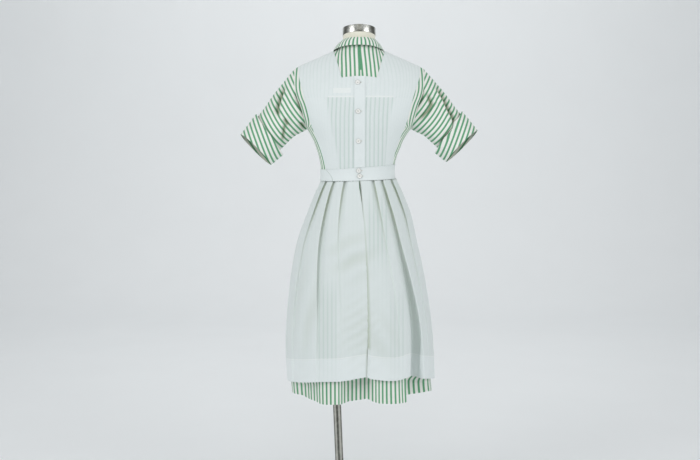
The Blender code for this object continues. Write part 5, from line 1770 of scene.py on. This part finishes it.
def placket(finish):
    """The strip that the buttons of the apron's back are sewn through, over both backs."""
    columns = 16
    rows = []
    for step in range(APRON_BACK_NECK_ROW * ROW_SPLIT + 1):
        row = step / ROW_SPLIT
        share = share_at(row)
        z = BAND_TOP + (SHOULDER_TIP_Z - BAND_TOP) * share
        z += (BACK_NECK_Z - SHOULDER_TIP_Z) * share**NECK_CLIMB_POWER
        line = []
        for c in range(columns + 1):
            x = PLACKET_LEFT + (PLACKET_RIGHT - PLACKET_LEFT) * c / columns
            line.append(body_point("back", 1, x, z + band_tilt(share) * x + (SEAM_GAP if step == 0 else 0.0)))
        rows.append(line)
    grid = np.array(rows)
    net = Net()
    net.add("placket", grid, 1, {"cloth": grid[:, :, [0, 2]]})
    points = np.array(net.points)
    normals = net.normals(points)
    blocks = [("placket", 0, grid.shape[0] - 1, 0, columns)]
    add_cloth("apron_placket", net, points, normals, blocks, PLACKET_LAYER, finish, "white_lawn", {"cloth": "cloth"}, {"shade": np.zeros(len(points))})


def hem_stripes(hem, left, right):
    """The stripes' coordinate at each column of the dress's skirt, from where the stripes meet its back hem."""
    along = lengths_along(hem)
    x = hem[:, 0]
    inside = [i for i in range(left, right + 1) if HEM_STRIPE_X[0] <= x[i] <= HEM_STRIPE_X[-1]]
    first, last = inside[0], inside[-1]
    stripes = np.interp(x, HEM_STRIPE_X, np.arange(len(HEM_STRIPE_X)) * STRIPE_PITCH)
    stripes[:first] = stripes[first] + along[:first] - along[first]
    stripes[last + 1 :] = stripes[last] + along[last + 1 :] - along[last]
    return stripes


def skirts(cotton, lawn):
    """The dress's skirt in a back and a front, and the apron's in a front and two backs."""
    stations = skirt_stations()
    apron_levels = [i / APRON_LEVELS for i in range(APRON_LEVELS + 1)]
    below = [1.0 + (i + 1) / DRESS_LEVELS_BELOW for i in range(DRESS_LEVELS_BELOW)]
    dress_levels = [-1.0, -0.5, *apron_levels, *below]
    apron, dark = apron_rows(stations, apron_levels)
    apron, drag_dark = dragged(shifted_sideways(apron))
    dark = np.maximum(dark, drag_dark)
    dress = shifted_sideways(dress_rows(stations, dress_levels))
    middle = find_station(stations, ("opening",))
    left, right = (find_station(stations, ("fixed", angle)) for angle in (-SIDE_SEAM_DEG, SIDE_SEAM_DEG))
    stripes = hem_stripes(dress[-1], left, right)
    last = len(stations) - 1
    net = skirt_net(dress, stripes, falls(dress))
    points = np.array(net.points)
    normals = net.normals(points)
    rows = dress.shape[0] - 1
    values = {"shade": np.zeros(len(points))}
    maps = {"cloth": "cloth"}
    blocks = [("skirt", 0, rows, left, right)]
    add_cloth("dress_skirt_back", net, points, normals, blocks, (0.0, 0.0007), cotton, "striped_cotton", maps, values)
    blocks = [("skirt", 0, rows, right, last), ("skirt", 0, rows, 0, left)]
    add_cloth("dress_skirt_front", net, points, normals, blocks, (0.0, 0.0007), cotton, "striped_cotton", maps, values)
    rows = apron.shape[0] - 1
    maps = {"cloth": "cloth", "under": "under"}
    across = arc_lengths(apron)
    across = across - across[:, middle : middle + 1]
    panels = (
        ("apron_skirt_left", [("skirt", 0, rows, left, middle)], -1.0),
        ("apron_skirt_right", [("skirt", 0, rows, middle, right)], 1.0),
        ("apron_skirt_front", [("skirt", 0, rows, right, last), ("skirt", 0, rows, 0, left)], 0.0),
    )
    for name, blocks, side in panels:
        shaped = apron.copy()
        for r, down in enumerate(apron_levels):
            gap, right_under, left_under = (
                OPENING.read_straight(key, down) for key in ("half_gap", "right_under", "left_under")
            )
            lap = right_under if side > 0.0 else left_under
            shaped[r, middle, 0] += side * (gap - lap)
            if side < 0.0 and 0.30 < down < 0.82:
                shaped[r, middle, 0] += 0.0010 * abs(math.sin(math.pi * shaped[r, middle, 2] / SCALLOP_LENGTH))
            shaped[r, middle, 1] += OPENING_LAP_DEPTH * min(1.0, lap / 0.001)
        net = Net()
        cloth_map = np.stack((across, falls(shaped)), axis=2)
        under = np.stack(((shaped[:, :, 0] - UNDER_STRIPE_X) * UNDER_STRIPE_SCALE, across * 0.0), axis=2)
        net.add("skirt", shaped, 1, {"cloth": cloth_map, "under": under})
        points = np.array(net.points)
        normals = net.normals(points)
        show = [skirt_show(*point) for point in points]
        lined = dark.copy()
        # Painted shadow along the back opening: on the panel that lies under, beside the other's edge, and in the slit
        # under the band
        for r, down in enumerate(apron_levels):
            if side > 0.0 and down < 0.84:
                share = 0.45 + 0.55 * smooth((down - 0.20) / 0.25)
                lined[r, middle : middle + 2] = (0.95 * share, 0.42 * share)
            if side < 0.0 and down >= 0.84:
                lined[r, middle - 1 : middle + 1] = (0.30, 0.90)
            if side < 0.0 and down < 0.10:
                lined[r, middle] = 0.5
        shade = np.zeros(len(points))
        shade[net.grids["skirt"]] = lined
        values = {"shade": shade, "show": np.array(show) * (1.0 - 0.8 * shade)}
        add_cloth(name, net, points, normals, blocks, (0.0, 0.0007), lawn, "white_lawn", maps, values)


def skirt_show(x, y, z):
    """How clearly the dress's stripes show through the apron's skirt."""
    if y > 0.0:
        return 0.35 * smooth((1.0 - z) / 0.3)
    total = 0.12
    for x0, x1, z0, z1, strength in SHOW_BOXES:
        across = min(smooth((x - x0) / 0.010 + 0.5), smooth((x1 - x) / 0.010 + 0.5))
        up = min(smooth((z - z0) / 0.12 + 0.5), smooth((z1 - z) / 0.12 + 0.5))
        total = max(total, strength * across * up)
    return total


def find_station(stations, key):
    return next(i for i, (low, high, share) in enumerate(stations) if low == key and share == 0.0)


def neckline(face, side, share):
    """A point of the dress's neckline, where share runs from the centre to the neck point."""
    column = ("centre", "neck_point", share)
    z = column_top(column, face, side)
    return Vector(body_point(face, side, column_x(column, face, side, z), z))


def spline(points, steps):
    """A smooth line of points through some others, evenly shared between them."""
    out = []
    last = len(points) - 1
    for k in range(steps + 1):
        at = last * k / steps
        i = min(int(at), last - 1)
        t = at - i
        before, after = points[max(0, i - 1)], points[min(last, i + 2)]
        a, b = points[i], points[i + 1]
        slope_in, slope_out = (b - before) * 0.5, (after - a) * 0.5
        out.append(
            a * (2 * t**3 - 3 * t**2 + 1)
            + slope_in * (t**3 - 2 * t**2 + t)
            + b * (3 * t**2 - 2 * t**3)
            + slope_out * (t**3 - t**2)
        )
    return out


def collar(net, points, normals, finish):
    """A stand from the neckline to the fold, and a fall from the fold out over the shoulders."""
    faces = [quad for patch in BODY_PATCHES for quad, _ in net.cells(patch)]
    body = BVHTree.FromPolygons([Vector(point) for point in points], faces)
    rows = []
    for step in range(-COLLAR_STATIONS, COLLAR_STATIONS + 1):
        station = 2.0 * abs(step) / COLLAR_STATIONS
        side = -1 if step < 0 else 1
        base = neckline("back", side, station) if station <= 1.0 else neckline("front", side, 2.0 - station)
        values = [COLLAR.read(name, station) for name in COLLAR.columns[1:]]
        fold = Vector((side * values[0], values[1], values[2]))
        edge = Vector((side * values[3], values[4], values[5]))
        if side > 0:
            edge.x -= COLLAR_RIGHT_DRAW_IN * math.sin(math.pi * min(1.0, station / 1.5))
        if station == 2.0:
            base.x = fold.x
        outwards = (edge - fold) * Vector((1.0, 1.0, 0.0))
        outwards.normalize()
        foot = base + outwards * 0.0009 + Vector((0.0, 0.0, 0.0006))
        over = fold + outwards * COLLAR_FOLD_GAP
        apex = (fold + over) / 2.0 + Vector((0.0, 0.0, 0.0012))
        bow = (over + edge) / 2.0 + Vector((0.0, 0.0, 0.0025)) + outwards * 0.0015
        lift = COLLAR_LIFT[0] + (COLLAR_LIFT[1] - COLLAR_LIFT[0]) * smooth((station - 0.45) / 0.35)
        fall = [off_surface(point, body, lift) for point in (over, bow, edge)]
        rows.append(spline([foot, foot.lerp(fold, 0.5), fold, apex, *fall], COLLAR_SECTION))
    grid = np.array([[tuple(point) for point in row] for row in rows])
    along = lengths_along(grid[:, -1])
    along = np.abs(along - along[len(rows) // 2])
    across = np.broadcast_to((along - STRIPE_PITCH / 2)[:, None], grid.shape[:2])
    cloth_map = np.stack((across, arc_lengths(grid)), axis=2)
    made = Net()
    made.add("collar", grid, -1, {"cloth": cloth_map})
    places = np.array(made.points)
    facing = made.normals(places)
    middle = facing[made.grids["collar"][len(rows) // 2, -1]]
    if middle[1] > 0.0:
        made.signs["collar"] = 1
        facing = made.normals(places)
    blocks = [("collar", 0, grid.shape[0] - 1, 0, grid.shape[1] - 1)]
    add_cloth("dress_collar", made, places, facing, blocks, (0.0, 0.0009), finish, "striped_cotton", {"cloth": "cloth"}, {"shade": np.zeros(len(places))})


def off_surface(point, tree, gap):
    """The point, moved out until it stands at least the gap off a surface."""
    place, normal, _, _ = tree.find_nearest(point)
    if (point - place).dot(normal) >= gap:
        return point
    return place + normal * gap


def form(net, points, normals, finish):
    """The limbless torso in one closed skin, from the flat bottom of its hips to the top of its neck."""
    quads = [quad for patch in BODY_PATCHES for quad, _ in net.cells(patch, ROW_SPLIT)]
    order = sorted({i for quad in quads for i in quad})
    number = {i: k for k, i in enumerate(order)}
    verts = []
    for i in order:
        shoulder = smooth((points[i][2] - 1.25) / 0.06)
        verts.append(tuple(points[i] - normals[i] * (FORM_INSET + FORM_EASE * (1.0 - shoulder))))
    faces = [[number[i] for i in quad] for quad in quads]
    counts = {}
    for quad in faces:
        for a, b in zip(quad, quad[1:] + quad[:1]):
            counts.setdefault(frozenset((a, b)), []).append((a, b))
    for loop in chain([pairs[0] for pairs in counts.values() if len(pairs) == 1]):
        middle = sum((Vector(verts[i]) for i in loop), Vector()) / len(loop)
        if abs(middle.x) > 0.1:
            close_dome(verts, faces, loop, middle, Vector((math.copysign(0.004, middle.x), 0.0, 0.0)))
        elif middle.z > 1.3:
            add_rings(verts, faces, loop, neck_ring, [row[0] for row in NECK_RINGS])
        else:
            heights = [WAIST - (WAIST - FORM_BOTTOM) * i / HIP_RINGS for i in range(1, HIP_RINGS + 1)]
            add_rings(verts, faces, loop, hip_ring, heights)
    obj = make_mesh("look_form_torso", verts, faces, {}, {}, finish, "form_canvas")
    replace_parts(obj, "form_torso")


def chain(edges):
    """Closed loops of point numbers from loose edges, each in the edges' own direction."""
    following = {a: b for a, b in edges}
    loops = []
    while following:
        start = next(iter(following))
        loop = [start]
        step = following.pop(start)
        while step != start:
            loop.append(step)
            step = following.pop(step)
        loops.append(loop)
    return loops


def close_dome(verts, faces, loop, middle, push):
    """Closes a hole with rings that close in on its middle."""
    ring = loop
    for share in (0.75, 0.5, 0.25):
        new = []
        for i in loop:
            point = middle + (Vector(verts[i]) - middle) * share + push * (1.0 - share**2)
            new.append(len(verts))
            verts.append(tuple(point))
        bridge(faces, ring, new)
        ring = new
    close(verts, faces, ring, middle + push)


def close(verts, faces, ring, middle):
    """Closes a ring with triangles that meet in its middle."""
    faces += [[b, a, len(verts)] for a, b in zip(ring, ring[1:] + ring[:1])]
    verts.append(tuple(middle))


def bridge(faces, low, high):
    """Joins a hole's loop, whose edges run along the faces beside it, to the next ring."""
    for a, b, c, d in zip(low, low[1:] + low[:1], high[1:] + high[:1], high):
        faces.append([b, a, d, c])


def neck_ring(x, y, height):
    row = next(row for row in NECK_RINGS if row[0] == height)
    _, half_width, half_depth, middle_y, lean = row
    turn = math.atan2(x / NECK_POINT_X, -y / 0.07)
    across, deep = half_width * math.sin(turn), -half_depth * math.cos(turn)
    return across, deep + middle_y, height - lean * deep


def hip_ring(x, y, height):
    waist = HIPS.rows[-1]
    turn = math.atan2(x / waist[1], -y / waist[2])
    face = "back" if y < 0.0 else "front"
    depth = HIPS.read(face, height)
    half_width = HIPS.read("half_width", height)
    return half_width * math.sin(turn), -depth * math.cos(turn), height


def add_rings(verts, faces, loop, ring_at, heights):
    """Rings on from an open edge, each point at its own angle round the axis, then a flat end."""
    start = [verts[i] for i in loop]
    ring = loop
    for height in heights:
        new = []
        for x, y, _ in start:
            new.append(len(verts))
            verts.append(tuple(ring_at(x, y, height)))
        bridge(faces, ring, new)
        ring = new
    middle = sum((Vector(verts[i]) for i in ring), Vector()) / len(ring)
    close(verts, faces, ring, middle)


def stand(chrome, brushed, tube):
    """The neck cap, the round base, and the pole, which leans a little, with its hub."""
    height, _, _, middle_y, lean = NECK_RINGS[-1]
    direction = Vector((0.0, lean, 1.0)).normalized()
    seat = Vector((0.0, middle_y, height)) + direction * SEAM_GAP
    cap = rounded(((0.0, 0.0), (CAP_RADIUS, 0.0), (CAP_RADIUS, CAP_HEIGHT), (0.0, CAP_HEIGHT)), CAP_ROUNDING)
    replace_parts(turned("look_form_neck_cap", cap, 96, chrome, "chrome", seat, direction), "form_neck_cap")
    base = ((0.0, 0.0), (BASE_RADIUS, 0.0), (BASE_RADIUS, BASE_THICKNESS), (0.0, BASE_THICKNESS))
    base = rounded(base, BASE_ROUNDING)
    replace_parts(turned("look_stand_base", base, 128, brushed, "steel", (0.0, 0.0, 0.0)), "stand_base")
    low, high = HUB_BEVEL
    pole = (
        (0.0, 0.0),
        (HUB_RADIUS - low, 0.0),
        (HUB_RADIUS, low),
        (HUB_RADIUS, HUB_HEIGHT - high),
        (HUB_RADIUS - high, HUB_HEIGHT),
        (POLE_RADIUS, HUB_HEIGHT),
        (POLE_RADIUS, POLE_HEIGHT),
        (0.0, POLE_HEIGHT),
    )
    foot = (POLE_FOOT_X, 0.0, BASE_THICKNESS + SEAM_GAP)
    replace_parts(turned("look_stand_pole", pole, 48, tube, "steel", foot, lean=POLE_LEAN), "stand_pole")


def stage_and_light():
    """A pale sweep under and behind the stand, soft lights on both sides and the camera."""
    profile = [(-8.0, 0.0), (3.2, 0.0)]
    for i in range(1, 17):
        turn = math.pi / 2.0 * i / 16
        profile.append((3.2 + 1.6 * math.sin(turn), 1.6 - 1.6 * math.cos(turn)))
    profile.append((4.8, 7.0))
    verts = [(x, y, z) for y, z in profile for x in (-9.0, 9.0)]
    faces = [[2 * i, 2 * i + 1, 2 * i + 3, 2 * i + 2] for i in range(len(profile) - 1)]
    data = bpy.data.meshes.new("pale_sweep")
    data.from_pydata(verts, [], faces)
    data.materials.append(plain_stage())
    data.shade_smooth()
    put("pale_sweep", data)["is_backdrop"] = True
    lights = (
        ("key", (-3.1, -2.5, 2.1), (0.0, 0.0, 0.85), 2.0, 54.0),
        ("fill", (3.1, -2.4, 1.9), (0.0, 0.0, 0.85), 2.2, 46.0),
        ("top", (0.0, -2.2, 3.2), (0.0, 0.0, 0.85), 1.6, 12.0),
        ("backdrop", (0.0, 1.6, 3.9), (0.0, 4.6, 0.9), 2.6, 52.0),
    )
    for name, place, target, size, power in lights:
        light = bpy.data.lights.new(name, "AREA")
        light.size = size
        light.energy = power
        obj = put(name, light)
        obj.location = place
        obj.visible_camera = False
        aim = Vector(target) - Vector(place)
        obj.rotation_mode = "QUATERNION"
        obj.rotation_quaternion = aim.to_track_quat("-Z", "Y")
    world = bpy.data.worlds.new("studio")
    bpy.context.scene.world = world
    world.use_nodes = True
    background = world.node_tree.nodes["Background"]
    background.inputs["Color"].default_value = tint((222, 226, 228))
    background.inputs["Strength"].default_value = 0.53
    camera = bpy.data.cameras.new("camera")
    camera.lens = CAMERA_LENS
    camera.sensor_width = 36.0
    view = put("camera", camera)
    view.location = CAMERA_PLACE
    view.rotation_euler = (math.radians(90.0 - CAMERA_PITCH_DEG), 0.0, 0.0)
    bpy.context.scene.camera = view
    bpy.context.scene.view_settings.view_transform = "Standard"


def declare_sheets():
    """Goes through the table of every cloth piece's cut; nothing is made from it."""
    for piece, width, length, area, held, rests_on in SHEETS:
        list(rests_on)


cad_box = main()
declare_sheets()
